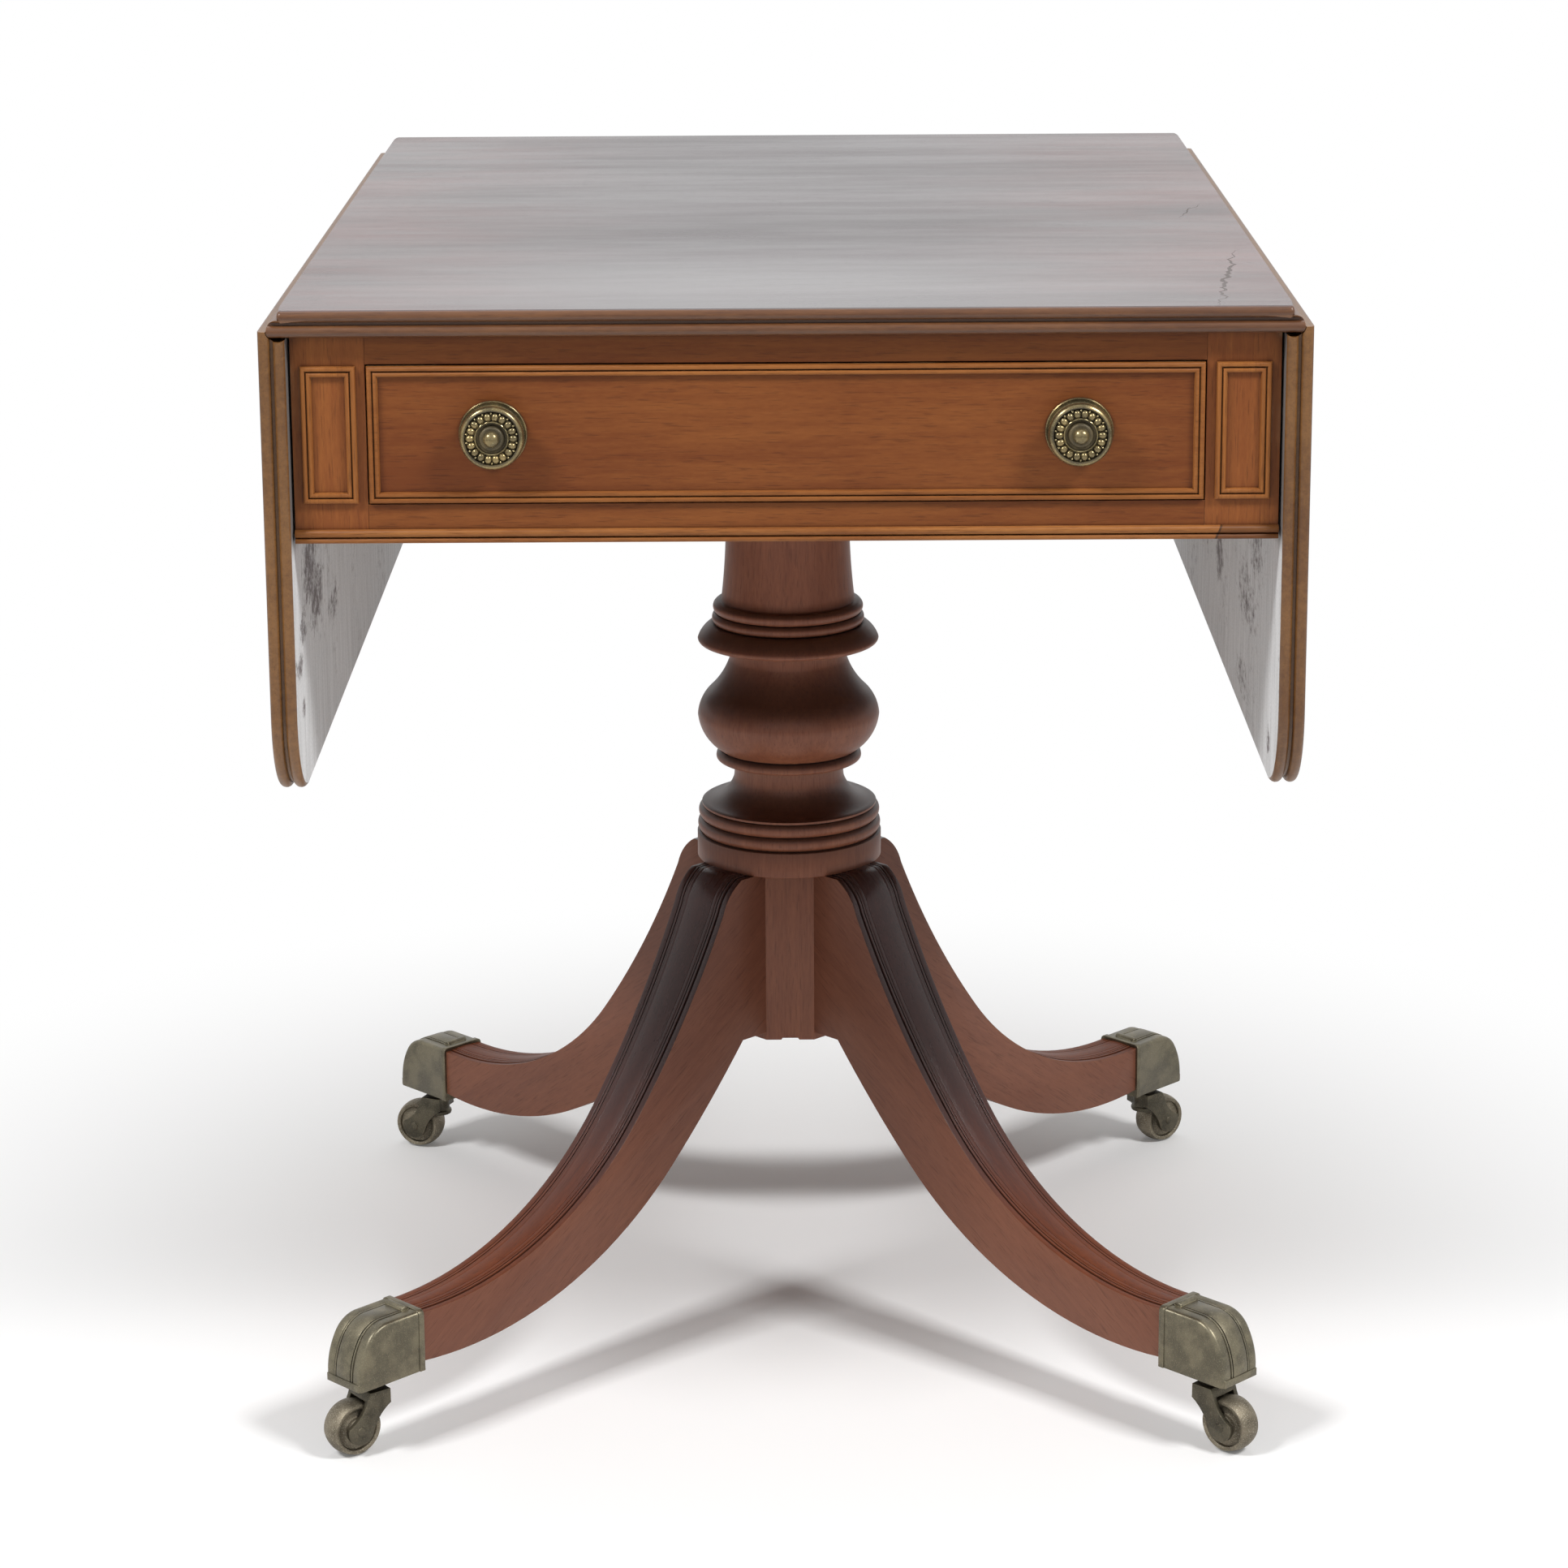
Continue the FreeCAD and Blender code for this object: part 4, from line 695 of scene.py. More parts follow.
def plank_finish(name, stretch_x, stretch_y):
    """Bare secondary wood inside the carcass, with its grain along one axis."""
    finish = Finish(name)
    place = finish.place()
    broad = finish.noise(place, (stretch_x * 0.12, stretch_y * 0.12, 20.0), 3.0)
    streak = finish.noise(place, (stretch_x, stretch_y, 210.0), 4.0, 0.6)
    pale = finish.step(broad * 0.6 + streak * 0.5, 0.35, 0.75)
    tone = finish.mix(pale, colour(120, 82, 54), colour(172, 130, 92))
    tone = finish.mix(finish.step(finish.recess(12.0), 0.3, 0.9) * 0.5, tone, colour(70, 52, 40))
    return finish.surface(bump=streak, bump_depth=0.15, Base_Color=tone, Roughness=streak * 0.2 + 0.6)


dark_iron = iron_finish()
plank_along_x = plank_finish("secondary_along_x", 12.0, 190.0)
plank_along_y = plank_finish("secondary_along_y", 190.0, 12.0)
print("hidden finishes:", dark_iron.name, plank_along_x.name, plank_along_y.name)

# %% [markdown]
# ## The top
# The top board has two half-round reeds along its front and rear edges, and along each side the rounded nose of
# a rule joint. No single extrusion gives both, so two are made, the reeded section across and the nosed
# section front to back, and only what lies inside both is kept.

# %% Draw the two sections of the top and keep what they share
TOP_Z, UNDER_Z = 720, 705
PIVOT_X, PIVOT_Z = 277.5, 709
NOSE_X, NOSE_Z, NOSE_RADIUS = 281.972, 715, 6
REED_FOOT, REED_RISE = 365.65, 3.35
REED_ENDS = 0, 6.7, 8.3, 15


def reed_pair(first, first_end, second, second_end):
    """Two half-round reeds between four points of an edge."""
    reeds = [first] + arc(first, first_end, REED_RISE, 12)
    return reeds + [second] + arc(second, second_end, REED_RISE, 12)


def top_sections():
    shoulder, foot = (PIVOT_X, NOSE_Z), (NOSE_X, UNDER_Z)
    rise = rise_of(shoulder, foot, NOSE_RADIUS)
    nosed = [(PIVOT_X, TOP_Z), shoulder] + arc(shoulder, foot, -rise, 10) + [(-NOSE_X, UNDER_Z)]
    nosed += arc((-NOSE_X, UNDER_Z), (-PIVOT_X, NOSE_Z), -rise, 10) + [(-PIVOT_X, TOP_Z)]
    saw_out(nosed, 380)
    nosed_body = shut()
    rear = [(REED_FOOT, UNDER_Z + end) for end in REED_ENDS]
    front = [(-y, z) for y, z in reversed(rear)]
    saw_out(reed_pair(*rear) + reed_pair(*front), 290, "x")
    reeded_body = shut()
    carve(reeded_body, nosed_body, "INTERSECT")
    return reeded_body


top = top_sections()
print("top board:", len(top.data.polygons), "faces")

# %% [markdown]
# Six iron hinges are let into the underside. Their seat is one stepped shape, drawn once and copied to each
# place, and carved away. The ends of the upper reeds are then rounded a little, as years of use have left them.

# %% Let the hinges into the top
HINGE_PLACES, HINGE_HALF = (-250, 0, 250), 22.5


def hinge_seat():
    """Room under the top for one hinge's plate and knuckle, at the right-hand pivot."""
    section = [(-30.5, -6), (-30.5, -1.1), (-2.9, -1.1), (-2.9, 0)]
    section += arc((-2.9, 0), (2.9, 0), -2.9, 8) + [(2.9, -0.05), (8, -0.05), (8, -6)]
    saw_out([(PIVOT_X + x, PIVOT_Z + z) for x, z in section], HINGE_HALF)
    return shut()


def upper_reed_end(at, edge):
    """Whether an edge closes an upper reed where the rule joint's side cuts it off."""
    on_reed = abs(at.y) > REED_FOOT + 0.3 and at.z > UNDER_Z + REED_ENDS[1]
    return on_reed and abs(abs(at.x) - PIVOT_X) < 0.4 and edge.calc_face_angle_signed(0) > 0.6


seat = hinge_seat()
for side_turn in (0, 180):
    for along in HINGE_PLACES:
        carve(top, copy_of(seat, side_turn, (0, along, 0)))
bpy.data.objects.remove(seat)
bpy.ops.object.mode_set(mode="EDIT")
print("reeds:", pick("EDGE", upper_reed_end), "end edges rounded")
bpy.ops.mesh.bevel(offset=2.2 * MM, segments=4, affect="EDGES")
soften(0.3, 50)
shade(40, wide_flats=True)
lay_grain(top, GRAIN_X)
settle(top, "table_top", "base", "polished_mahogany", top_polish, "top_board")

# %% [markdown]
# ## The leaves
# A leaf hangs with its free edges reeded all the way round its two rounded corners. The reeds' section is
# drawn once at the top front, pulled down the edge, spun round each corner and pulled on, as a scraper would
# be drawn round it. The two flat faces and the joint's edge are then filled.

# %% Sweep the reeds round the right leaf
LEAF_INNER, LEAF_OUTER = 273.5, 288.5
LEAF_HEAD, LEAF_TIP, LEAF_CORNER = 708.6, 438.0, 52
TURN_Y, TURN_Z = REED_FOOT + REED_RISE - LEAF_CORNER, LEAF_TIP + LEAF_CORNER


def leaf_board():
    section = reed_pair(*[(LEAF_INNER + end, -REED_FOOT) for end in REED_ENDS])
    draw_line([(x, y, LEAF_HEAD) for x, y in section])
    bpy.ops.mesh.select_all(action="SELECT")
    extrude(z=TURN_Z - LEAF_HEAD)
    corner = {"steps": 18, "angle": -pi / 2, "axis": (1, 0, 0)}
    bpy.ops.mesh.spin(center=Vector((0, -TURN_Y, TURN_Z)) * MM, **corner)
    extrude(y=2 * TURN_Y)
    bpy.ops.mesh.spin(center=Vector((0, TURN_Y, TURN_Z)) * MM, **corner)
    extrude(z=LEAF_HEAD - TURN_Z)
    for face_x in (LEAF_INNER, LEAF_OUTER):
        pick("EDGE", lambda at, edge: edge.is_boundary and abs(at.x - face_x) < 0.01 and at.z < LEAF_HEAD - 0.6)
        bpy.ops.mesh.edge_face_add()
    pick("EDGE", lambda at, edge: edge.is_boundary)
    bpy.ops.mesh.edge_face_add()
    close_mesh()
    return shut()


leaf = leaf_board()
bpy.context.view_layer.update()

# %% [markdown]
# The joint's edge is hollowed to fit the top's nose, and three hinge plates are let into the inner face. The
# other leaf is a copy, turned half round. On both, the unpolished inner face gets a finish of its own.

# %% Hollow the joint, seat the hinges and copy the leaf
def cove_cutter():
    start(bpy.ops.mesh.primitive_cylinder_add, vertices=64, radius=6.4 * MM, depth=760 * MM)
    return lay(shut(), (PIVOT_X, 0, PIVOT_Z))


def block(low, high):
    """A cube stretched between two corners in mm, left open in edit mode."""
    low, high = Vector(low), Vector(high)
    start(bpy.ops.mesh.primitive_cube_add, size=1)
    bpy.ops.transform.resize(value=(high - low) * MM)
    move(*((low + high) / 2))
    return bpy.context.object


carve(leaf, cove_cutter())
for along in HINGE_PLACES:
    carve(leaf, block((270, along - HINGE_HALF, 678.5), (276.4, along + HINGE_HALF, 712)))
soften(0.3, 50)
shade(40, wide_flats=True)
lay_grain(leaf, GRAIN_Y)
right_leaf, left_leaf = leaf, copy_of(leaf, 180)
for side, piece in (("right", right_leaf), ("left", left_leaf)):
    settle(piece, f"{side}_leaf", f"leaf_{side}", "polished_mahogany", leaf_polish, f"leaf_{side}")
    piece.data.materials.append(leaf_dust_and_sheen)
    for face in piece.data.polygons:
        if abs(face.normal.x) > 0.9 and abs(abs(face.center.x) - LEAF_INNER * MM) < 2e-4:
            face.material_index = 1

# %% [markdown]
# ## The frieze
# Four posts stand at the corners, with a thin rail above and a deeper one below each drawer face. Each is its
# own board: a cube stretched between its node's corners, with its edges eased. Where two boards meet, the eased
# edges leave the fine dark joint lines that show on the real frieze.

# %% Posts, rails and drawer faces
FACE_Y = -358


def board(node, ease=0.35):
    low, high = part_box(node)
    piece = block(low / MM, high / MM)
    bpy.ops.mesh.select_all(action="SELECT")
    bpy.ops.mesh.bevel(offset=ease * MM, segments=2, affect="EDGES")
    shade(40, wide_flats=True)
    return piece


for index, corner in enumerate(CORNERS):
    post = board(f"post_{corner}")
    lay_grain(post, GRAIN_Z, 0.31 * index)
    settle(post, f"{corner}_post", "base", "frieze_mahogany", post_wood, f"post_{corner}")
for index, node in enumerate(("front_top_rail", "front_bottom_rail", "rear_top_rail", "rear_bottom_rail")):
    rail = board(node)
    lay_grain(rail, GRAIN_X, 0.23 * index)
    settle(rail, f"{node}_board", "base", "frieze_mahogany", frieze_wood, node)
for node, body in (("drawer_front", "drawer"), ("dummy_drawer_front", "base")):
    face_board = board(node, 0.3)
    lay_grain(face_board, GRAIN_X, 1.4)
    settle(face_board, f"{node}_board", body, "frieze_mahogany", frieze_wood, node)

# %% [markdown]
# Each drawer face and post carries a mitred frame of two beads with a groove between them. One plane is inset
# again and again, each time with a little depth, so the beads rise and fall and the corners mitre themselves.
# The inner face is then taken out and the back is bridged.

# %% Bead frames
OUTER_BEAD = [(0.02, 1.4), (0.2, 0.85), (0.5, 0.55), (0.7, 0.2), (0.7, -0.2), (0.5, -0.55), (0.2, -1.25)]
INNER_BEAD = [(0.2, 0.95), (0.5, 0.55), (0.6, 0.15), (0.6, -0.2), (0.5, -0.6), (0.35, -1.0), (0.1, -0.85)]
BEAD_STEPS = OUTER_BEAD + [(0.45, 0)] + INNER_BEAD
POST_LEFT, POST_RIGHT, POST_LOW, POST_HIGH = 236.5, 266.9, 610.8, 687.7


def bead_frame(left, right, low, high, face_y):
    corners = (left, low), (right, low), (right, high), (left, high)
    fill_outline([(x, face_y, z) for x, z in corners], (0, -1, 0))
    bpy.ops.mesh.select_mode(type="FACE")
    bpy.ops.mesh.select_all(action="SELECT")
    for wide, rise in BEAD_STEPS:
        inset(wide, rise)
    bpy.ops.mesh.delete(type="FACE")
    pick("EDGE", lambda at, edge: edge.is_boundary)
    bpy.ops.mesh.bridge_edge_loops()
    close_mesh()
    shade(50)
    return bpy.context.object


panel = bead_frame(POST_LEFT, POST_RIGHT, POST_LOW, POST_HIGH, FACE_Y)
lay_grain(panel, GRAIN_Z)
panels = [panel, copy_of(panel, place=(-POST_LEFT - POST_RIGHT, 0, 0))]
panels += [copy_of(piece, 180) for piece in panels]
settle(join(panels), "post_bead_frames", "base", "bead_moulding", bead_wood, "post_panel_mouldings")
low, high = (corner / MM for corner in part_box("drawer_moulding"))
frame_front = bead_frame(low.x, high.x, low.z, high.z, high.y)
lay_grain(frame_front, GRAIN_X, 0.7)
frame_rear = copy_of(frame_front, 180)
settle(frame_front, "drawer_bead_frame", "drawer", "bead_moulding", bead_wood, "drawer_moulding")
settle(frame_rear, "dummy_bead_frame", "base", "bead_moulding", bead_wood, "dummy_drawer_moulding")

# %% [markdown]
# Two more beads run along the foot of the frieze, the upper one fuller. Their section is drawn once and pulled
# across the whole front, and the rear one is a copy.

# %% Base mouldings
BASE_HALF = 272.2


def base_beads():
    section = [(FACE_Y, 588), (FACE_Y, 596), (-359, 596)] + arc((-359, 596), (-359, 591.6), 2.2, 10)
    section += [(-358.7, 591.4)] + arc((-358.7, 591.2), (-358.9, 588.1), 1.55, 8)
    saw_out(section, BASE_HALF, "x")
    soften(0.3, 60)
    shade(45)
    return bpy.context.object


beads_front = base_beads()
lay_grain(beads_front, GRAIN_X, 2.1)
beads = join([beads_front, copy_of(beads_front, 180)])
settle(beads, "base_beads", "base", "bead_moulding", base_bead_wood, "base_mouldings")

# %% [markdown]
# ## The knobs
# Each knob is a turned brass rose: a thin plate on the drawer, a waisted neck, a rim, and inside it a ring of
# cast lobes round a deep dish with a domed button. The rings come off the lathe, and one lobe is copied round by
# a spin that duplicates.

# %% Turn one knob and set four
def knob():
    section = [(0, 0), (18.4, 0), (18.8, 0.5), (18.8, 1.3), (18.3, 1.8)]
    section += arc((18.3, 1.8), (13.2, 5.6), -1.6, 6) + arc((13.2, 5.6), (17.3, 9.0), -1.0, 6)
    section += arc((17.3, 9.0), (15.6, 13.6), 1.2, 8) + [(15.1, 13.4), (14.7, 12.0), (14.2, 11.6)]
    section += [(9.7, 11.6), (9.5, 12.8), (9.1, 13.1), (8.7, 12.8), (8.4, 11.2), (7.0, 10.9), (6.8, 13.0)]
    section += arc((6.8, 13.0), (5.2, 14.2), 0.5, 4) + [(4.7, 14.2), (4.6, 15.4)]
    section += arc((4.6, 15.4), (0, 18.9), 1.1, 8)
    turn_section(section, 72)
    bpy.ops.mesh.select_all(action="DESELECT")
    lobes, bead_radius, lobe_height = 18, 13.9, 12.2
    ring = {"steps": lobes, "dupli": True, "angle": 2 * pi, "center": (0, 0, 0), "axis": (0, 0, 1)}
    bpy.ops.mesh.primitive_uv_sphere_add(segments=14, ring_count=8, radius=MM)
    bpy.ops.transform.resize(value=(2.5, 2.15, 2.2))
    move(11.9, 0, lobe_height)
    bpy.ops.mesh.spin(**ring)
    bpy.ops.mesh.select_all(action="DESELECT")
    bpy.ops.mesh.primitive_uv_sphere_add(segments=8, ring_count=6, radius=MM)
    bpy.ops.transform.resize(value=(1.0, 0.75, 1.3))
    move(bead_radius * cos(pi / lobes), bead_radius * sin(pi / lobes), lobe_height)
    bpy.ops.mesh.spin(**ring)
    close_mesh()
    shade(40)
    return bpy.context.object


knob_pattern = lay(knob(), (KNOB_X, FACE_Y, KNOB_Z))
knob_pair = join([knob_pattern, copy_of(knob_pattern, place=(-2 * KNOB_X, 0, 0))])
rear_pair = copy_of(knob_pair, 180)
settle(knob_pair, "drawer_roses", "drawer", "knob_brass", knob_brass, "drawer_knobs")
settle(rear_pair, "dummy_roses", "base", "knob_brass", knob_brass, "dummy_knobs")

# %% [markdown]
# ## The column
# The column is one turning: a tapering shaft, two rings, a flange, a vase, a ring on a neck, a bell, two reeds
# and a plain collar. It stands on a block whose four wide corners take the legs. The section is drawn from
# straight runs and arcs and spun, and the block is a cube with its upright edges cut off and a small lunette
# gouged out of the foot of its front.

# %% Turn the column and set it on its block
COLLAR_Z = 299.6
BLOCK_HALF, BLOCK_FOOT = 48, 187


def column_section():
    section = [(0, COLLAR_Z), (59.2, COLLAR_Z), (59.6, 300.0), (59.6, 315.4), (59.2, 315.9), (57.3, 316.3)]
    section += arc((57.3, 316.7), (57.1, 325.0), 2.0, 10) + [(56.4, 325.3)]
    section += arc((56.8, 325.6), (56.6, 333.4), 1.9, 10)
    section += [(55.7, 333.6), (56.4, 334.0), (56.4, 335.4), (55.2, 336.0)]
    section += arc((55.2, 336.0), (35.6, 351.5), -4.0, 14) + arc((35.6, 351.5), (35.8, 362.8), -0.5, 6)
    section += [(36.4, 363.4), (45.0, 363.6)] + arc((45.0, 363.6), (46.9, 365.6), 0.5, 5)
    section += arc((46.9, 365.6), (43.6, 370.9), 0.9, 8) + [(44.4, 371.0)]
    section += arc((44.4, 371.0), (58.6, 393.7), 3.2, 14) + arc((58.6, 393.7), (51.5, 409.5), 1.5, 10)
    section += arc((51.5, 409.5), (37.6, 431.4), -1.7, 12)
    section += [(37.4, 436.0), (37.4, 440.8), (38.2, 441.4), (55.6, 441.5)]
    section += arc((55.6, 441.5), (58.2, 444.1), 0.7, 6) + arc((58.2, 444.1), (49.8, 454.0), 1.2, 10)
    section += [(46.6, 454.2), (47.6, 454.6)] + arc((47.6, 454.6), (46.8, 461.3), 1.7, 10) + [(45.8, 461.5)]
    section += [(47.0, 461.9)] + arc((47.0, 461.9), (45.8, 468.8), 1.8, 10) + [(43.4, 469.2), (42.8, 470.0)]
    return section + arc((42.8, 470.0), (39.7, 512.0), -0.5, 8) + [(38, 588), (0, 588)]


def pedestal():
    turn_section(column_section(), 128)
    shade(40)
    turned = bpy.context.object
    foot = block((-BLOCK_HALF, -BLOCK_HALF, BLOCK_FOOT), (BLOCK_HALF, BLOCK_HALF, COLLAR_Z))
    pick("EDGE", lambda at, edge: abs(at.x) > 40 and abs(at.y) > 40)
    bpy.ops.mesh.bevel(offset=32.5 * MM, segments=1, affect="EDGES")
    shut()
    start(bpy.ops.mesh.primitive_cylinder_add, vertices=48, radius=6.56 * MM, depth=7 * MM)
    carve(foot, lay(shut(), (0, -BLOCK_HALF, 183.9)))
    soften(0.5, 40)
    shade(40)
    return join([turned, foot])


column = pedestal()
lay_grain(column, GRAIN_Z)
settle(column, "turned_column", "base", "pedestal_mahogany", column_wood, "column")

# %% [markdown]
# ## The legs
# A leg is cut from a plank to its side outline, tapered in plan from the block to the toe, and its upper edge
# is worked with a scratch stock: a flat margin, a groove, a bead, a fine line and a raised band. The outline is
# extruded and two bisects taper it. More bisects follow the taper to part the upper edge into strips, and each
# strip is raised or sunk along its normals.

# %% Saw, taper and mould one leg
def leg_outline():
    outline = [(44.9, 192), (66, 192)]
    runs = [((127.8, 123.6), 780, 1, 8), ((333, 51.5), 254.8, 1, 22)]
    runs += [((336, 51.5), 0, 0, 0), ((336, 83), 0, 0, 0), ((333, 83), 0, 0, 0)]
    runs += [((158.6, 160.3), 212.6, -1, 24), ((82, 279.6), 600, -1, 14), ((66, COLLAR_Z), 34, 1, 8)]
    for corner, radius, way, steps in runs:
        if radius:
            outline += arc(outline[-1], corner, way * rise_of(outline[-1], corner, radius), steps)
        else:
            outline.append(corner)
    return outline + [(44.9, COLLAR_Z)]


LEG_HALF, LEG_ROOT, LEG_TOE, LEG_TAPER = 23, 66, 334, 7.5 / 267
# Each strip of the upper edge: how far inside the leg's side it begins and ends, and its rise.
LEG_STRIPS = (
    (4.2, 5.3, -0.9), (5.3, 7.0, 0.5), (7.0, 7.7, -0.3), (7.7, 9.4, 0.5), (9.4, 12.0, 0.75), (12.0, 99.0, 0.9)
)


def taper_leg(inside, **cut):
    """Bisect the leg on both sides along its taper, a little inside its full width."""
    for side in (-1, 1):
        bpy.ops.mesh.select_all(action="SELECT")
        place = Vector((LEG_ROOT, (LEG_HALF - inside) * side, 0)) * MM
        bpy.ops.mesh.bisect(plane_co=place, plane_no=Vector((LEG_TAPER, side, 0)).normalized(), **cut)


def on_upper_edge(at, face):
    return abs(face.normal.y) < 0.2 and face.normal.z > 0.05 and at.x < LEG_TOE


def inside_leg(at):
    """How far a point lies inside the leg's tapering side."""
    return LEG_HALF - (at.x - LEG_ROOT) * LEG_TAPER - abs(at.y)


def leg():
    saw_out(leg_outline(), LEG_HALF)
    taper_leg(0, use_fill=True, clear_outer=True)
    close_mesh()
    for near, _, _ in LEG_STRIPS:
        taper_leg(near)
    upper = pick("FACE", on_upper_edge)
    for face in bmesh.from_edit_mesh(bpy.context.object.data).faces:
        face.material_index = 1 if face.select else 0
    for near, far, rise in LEG_STRIPS:
        pick("FACE", lambda at, face: on_upper_edge(at, face) and near < inside_leg(at) < far)
        swell(rise)
    soften(0.25, 55)
    shade(40)
    print("leg:", upper, "faces along its upper edge")
    return bpy.context.object


leg_pattern = leg()
for finish in (leg_wood, leg_top_wood):
    leg_pattern.data.materials.append(finish)
lay_grain(leg_pattern, Matrix.Rotation(radians(-35), 3, "Y"))
for index, (corner, turn) in enumerate(CORNERS.items()):
    piece = copy_of(leg_pattern, turn)
    for kept in piece.data.attributes["grain"].data:
        kept.vector = Vector(kept.vector) + Vector((0.7, 0.3, 0.5)) * index
    settle(piece, f"{corner}_leg", "base", "pedestal_mahogany", leg_wood, f"leg_{corner}")
bpy.data.objects.remove(leg_pattern)

# %% [markdown]
# ## Toe caps
# Each toe wears a cast brass shoe with a rounded front. It has a raised rim where it meets the wood, a raised
# band over its top that ends in a small roll, and a flat lip along the front of its foot. The side outline is
# extruded, its upper edges are rounded, and bisects part the strips of the band.

# %% Cast one toe cap and set four
CAP_BACK, CAP_FRONT, CAP_FOOT, CAP_LIP, CAP_HEAD, CAP_HALF = 333, 383, 46, 50.7, 84.7, 16.5
RIM_X = 337
# Each strip of the band: where it begins and ends to each side of the middle, and its rise.
BAND_STRIPS = (-1, 6.4, 0.5), (6.4, 7.1, -0.45), (7.1, 8.3, 0.4), (8.3, 9.0, -0.45)


def on_band(at, face):
    """Whether a face lies on the front or top of the cap, clear of the rim and the lip."""
    outward = abs(face.normal.y) < 0.05 and (face.normal.z > 0.02 or face.normal.x > 0.5)
    return outward and at.x > RIM_X + 0.1 and at.z > CAP_LIP + 0.1


def toe_cap():
    outline = [(CAP_BACK, CAP_FOOT), (CAP_FRONT, CAP_FOOT), (CAP_FRONT, CAP_LIP)]
    outline += arc((CAP_FRONT, CAP_LIP), (376.6, 74.7), 1.75, 10)
    outline += arc((376.6, 74.7), (361, CAP_HEAD), 2.36, 10) + [(CAP_BACK, CAP_HEAD)]
    saw_out(outline, CAP_HALF)
    pick("EDGE", lambda at, edge: abs(abs(at.y) - CAP_HALF) < 0.01 and at.z > CAP_FOOT + 1 and at.x > CAP_BACK + 0.1)
    bpy.ops.mesh.bevel(offset=2.4 * MM, segments=4, affect="EDGES")
    cuts = [((RIM_X, 0, 0), (1, 0, 0))]
    cuts += [((0, side * outer, 0), (0, 1, 0)) for side in (-1, 1) for _, outer, _ in BAND_STRIPS]
    for place, normal in cuts:
        bpy.ops.mesh.select_all(action="SELECT")
        bpy.ops.mesh.bisect(plane_co=Vector(place) * MM, plane_no=normal)
    for inner, outer, rise in BAND_STRIPS:
        pick("FACE", lambda at, face: on_band(at, face) and inner < abs(at.y) < outer)
        swell(rise)
    pick("FACE", lambda at, face: at.x < RIM_X and face.normal.x > -0.9 and face.normal.z > -0.9)
    swell(0.8)
    pick("FACE", lambda at, face: at.z < CAP_LIP - 0.2 and face.normal.x > 0.9)
    extrude(x=0.9)
    close_mesh()
    soften(0.25, 40)
    shade(45)
    cap = bpy.context.object
    start(bpy.ops.mesh.primitive_cylinder_add, vertices=24, radius=2.6 * MM, depth=17 * MM)
    bpy.ops.mesh.select_all(action="SELECT")
    soften(0.8, 40, 3)
    shade(40)
    roll = lay(bpy.context.object, (340.5, 0, 84.6))
    return join([cap, roll])


cap_pattern = toe_cap()
caps = [copy_of(cap_pattern, turn) for turn in CORNERS.values()]
bpy.data.objects.remove(cap_pattern)
settle(join(caps), "brass_toe_caps", "base", "antique_brass", cap_brass, "toe_caps")

# %% [markdown]
# ## Castors
# A castor is a turned barrel with a flange at its head and a lip at its foot, a pair of rounded cheeks cast on
# to it, and a wheel between them. The cheeks are one outline extruded to the full width, joined to the barrel,
# and a drum the size of the wheel's room is taken out of both.

# %% Cast one fork
WHEEL_PLACE = 15, 0, 17
SWIVEL_OUT = 361


def castor_fork():
    section = [(0, 67), (3.6, 67), (4, 66.6), (4, 45.7), (9.4, 45.7), (10, 45.2), (10, 42.4), (9.3, 41.8)]
    section += [(8.2, 41.4), (7.8, 40.4), (7.6, 31.2), (7.9, 29.6), (8.9, 28.8), (9.1, 27.6), (8.7, 26.4)]
    turn_section(section + [(6, 25.4), (0, 25.4)], 48)
    barrel = shut()
    cheek = [(-6, 40), (-6.2, 31)] + arc((-6.2, 31), (7, 13.2), -2.2, 6) + arc((7, 13.2), (23.4, 19.8), 8.2, 18)
    cheek += arc((23.4, 19.8), (10, 36), -2.4, 8) + [(8, 40)]
    saw_out(cheek, 11.2)
    fork = shut()
    carve(fork, barrel, "UNION")
    start(bpy.ops.mesh.primitive_cylinder_add, vertices=72, radius=18.2 * MM, depth=16.4 * MM)
    carve(fork, lay(shut(), WHEEL_PLACE))
    soften(0.5, 40)
    shade(40)
    return fork


fork_pattern = castor_fork()
print("fork:", len(fork_pattern.data.polygons), "faces")

# %% [markdown]
# The wheel has a crowned tread, a rim and dished sides round its hub, and turns on a pin with eased ends. Each
# castor is then turned to the way that it trails on the real table.

# %% Turn the wheel and pin, and set the four castors
def castor_wheel():
    side = [(3.1, -7.5), (6.4, -7.5), (7.0, -7.1), (7.6, -5.4), (8.4, -4.9), (11.6, -4.9), (12.6, -5.4)]
    side += [(13.2, -6.9), (14.0, -7.4), (15.5, -7.5)]
    section = side + arc((15.5, -7.5), (15.5, 7.5), 1.5, 14) + [(r, -h) for r, h in reversed(side[:-1])]
    turn_section(section + [side[0]], 72)
    shade(35)
    return lay(bpy.context.object, WHEEL_PLACE)


def castor_pin():
    end = [(0, -12), (1.8, -12), (2.6, -11.8), (3, -11.3)]
    turn_section(end + [(r, -h) for r, h in reversed(end)], 32)
    shade(35)
    return lay(bpy.context.object, WHEEL_PLACE)


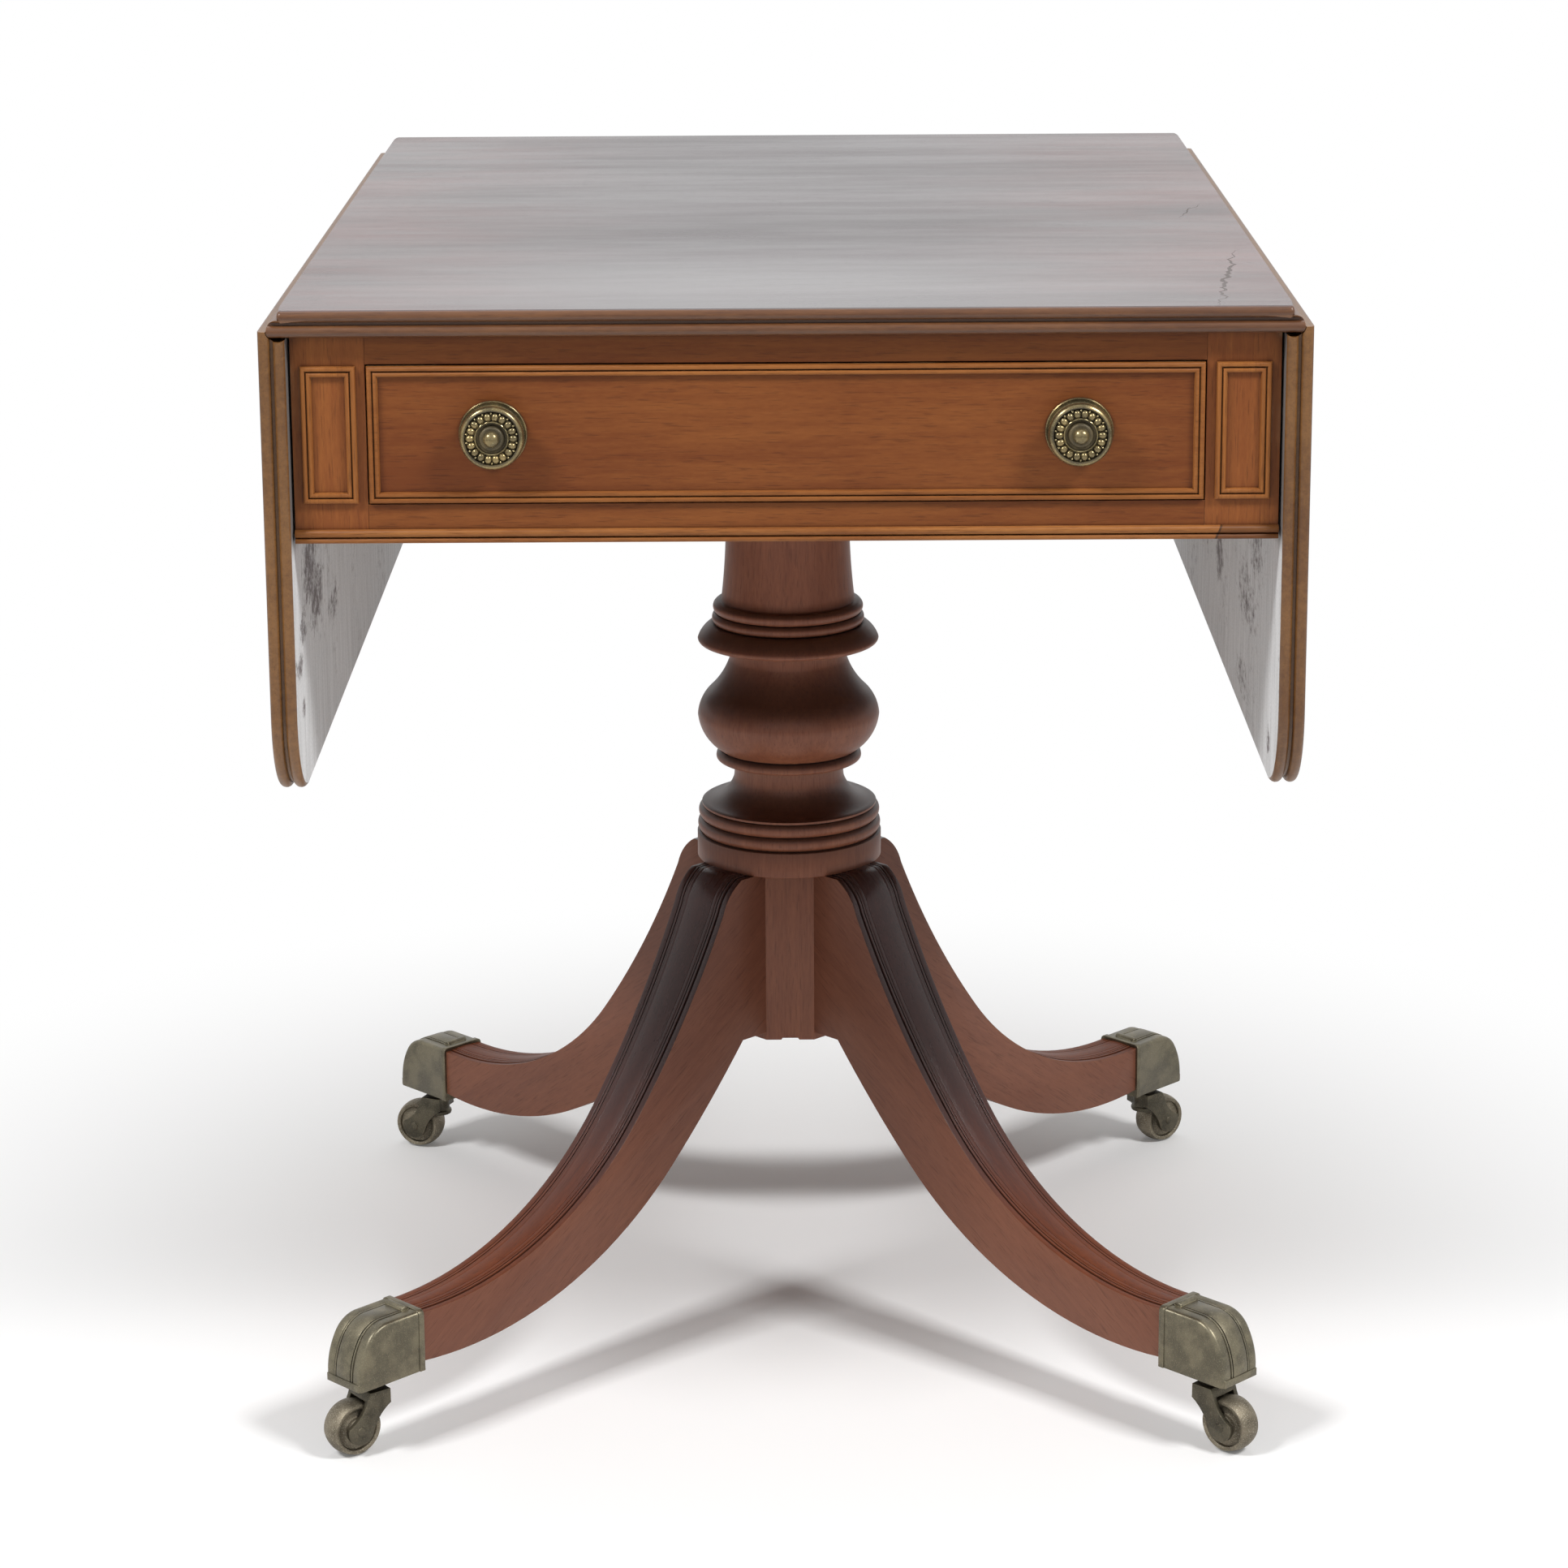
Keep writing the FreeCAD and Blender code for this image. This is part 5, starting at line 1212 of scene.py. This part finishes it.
TRAILS = {"front_left": 217, "front_right": 316, "rear_left": 157, "rear_right": 37}
wheel_pattern = castor_wheel()
pin_pattern = castor_pin()
for corner, turn in CORNERS.items():
    swivel = (SWIVEL_OUT * cos(radians(turn)), SWIVEL_OUT * sin(radians(turn)), 0)
    patterns = fork_pattern, wheel_pattern, pin_pattern
    fork, wheel, pin = (copy_of(piece, TRAILS[corner], swivel) for piece in patterns)
    castor = f"castor_{corner}"
    settle(fork, f"{corner}_fork", castor, "antique_brass", fork_brass, f"castor_fork_{corner}")
    settle(pin, f"{corner}_pin", castor, "antique_brass", fork_brass, f"castor_axle_{corner}")
    settle(wheel, f"{corner}_wheel", f"wheel_{corner}", "castor_wheel_brass", wheel_brass, f"castor_wheel_{corner}")
for pattern in patterns:
    bpy.data.objects.remove(pattern)

# %% [markdown]
# ## Hidden joinery
# The rails behind the leaves, the drawer's box, the fly brackets and the iron fittings are right as they are in
# the CAD frame. They keep their meshes and get bare wood or dark iron.

# %% Dress the nodes that stay
def dress_nodes():
    along_x = ("drawer_back", "drawer_bottom", "drawer_stops", "pedestal_bearer")
    dressed = {}
    for name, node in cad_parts.items():
        if node.hide_render:
            continue
        if "hinge_plates" in name or "screws" in name or name.endswith("pins"):
            finish = dark_iron
        elif "knob" in name:
            finish = knob_brass
        else:
            finish = plank_along_x if name in along_x else plank_along_y
        node.data.materials.clear()
        node.data.materials.append(finish)
        dressed[name] = finish.name
    return dressed


print(dress_nodes())

# %% [markdown]
# ## Studio
# The table stands on a pale floor in soft light. The floor catches the shadows; away from the table it fades to
# plain white, and the world is white to the camera and to reflections, but gives a quieter fill to everything
# else.

# %% Floor and world
WHITE = 1.0, 1.0, 1.0, 1.0


def floor_finish():
    finish = Finish("pale_floor")
    x, y, _ = finish.axes(finish.place())
    away = finish.step(finish.far(x, y), 0.26, 0.85)
    seen = finish.add("LightPath", output="Is Camera Ray")
    matt = finish.add("BsdfDiffuse", inputs={"Color": (0.96, 0.96, 0.96, 1.0)})
    white = finish.add("Emission", inputs={"Color": WHITE, "Strength": 1.0})
    lifted = finish.add("MixShader", inputs={0: away, 1: matt, 2: white})
    shader = finish.add("MixShader", inputs={0: seen, 1: matt, 2: lifted})
    finish.add("OutputMaterial", inputs={0: shader})
    return finish.made


bpy.ops.object.select_all(action="DESELECT")
bpy.ops.mesh.primitive_plane_add(size=30)
floor = bpy.context.object
floor.name = "floor"
floor.data.materials.append(floor_finish())


def light_world():
    room = Finish("white_room", bpy.data.worlds)
    rays = [room.add("LightPath", output=f"Is {ray} Ray") for ray in ("Camera", "Glossy", "Transmission")]
    seen = room.most(room.most(rays[0], rays[1]), rays[2])
    fill = room.add("Background", inputs={"Color": WHITE, "Strength": 0.24})
    white = room.add("Background", inputs={"Color": WHITE, "Strength": 1.0})
    room.add("OutputWorld", inputs={0: room.add("MixShader", inputs={0: seen, 1: fill, 2: white})})
    bpy.context.scene.world = room.made


light_world()
print("stage:", floor.name, bpy.context.scene.world.name)

# %% [markdown]
# Two soft boxes stand left and right of the front, as the legs' two shadows show. A larger, weaker one hangs over
# the table and keeps its far side from going dark.

# %% Lamps
def soft_box(name, place, target, size, power):
    bpy.ops.object.light_add(type="AREA", location=place)
    lamp = bpy.context.object
    lamp.name = name
    lamp.data.shape = "SQUARE"
    lamp.data.size = size
    lamp.data.energy = power
    lamp.rotation_euler = (Vector(target) - Vector(place)).to_track_quat("-Z", "Y").to_euler()


soft_box("left_box", (-1.95, -1.55, 2.8), (0, 0, 0.4), 0.7, 70)
soft_box("right_box", (1.95, -1.55, 2.8), (0, 0, 0.4), 0.7, 74)
soft_box("over_box", (0, 0.6, 3.2), (0, 0, 0.5), 2.2, 22)

# %% [markdown]
# ## Camera
# The photograph was taken from a little above the top with a long lens. The camera looks down a little from the
# same place, and a small shift of its lens sets the table in the frame as it is there.

# %% Camera
CAMERA_PLACE = 0.00343, -2.67036, 1.11148
PAN, PITCH, ROLL = 0.13, 76.09, -0.34
camera = bpy.data.objects.new("camera", bpy.data.cameras.new("camera"))
bpy.context.scene.collection.objects.link(camera)
camera.data.sensor_width = 36.0
camera.data.lens = 98.2
camera.data.shift_y = -0.10
aim = Matrix.Rotation(radians(PAN), 4, "Z") @ Matrix.Rotation(radians(PITCH), 4, "X")
aim = aim @ Matrix.Rotation(radians(ROLL), 4, "Z")
camera.matrix_world = Matrix.Translation(CAMERA_PLACE) @ aim
bpy.context.scene.camera = camera
bpy.context.scene.view_settings.view_transform = "Standard"
print("camera:", camera.data.lens, "mm lens at", CAMERA_PLACE)
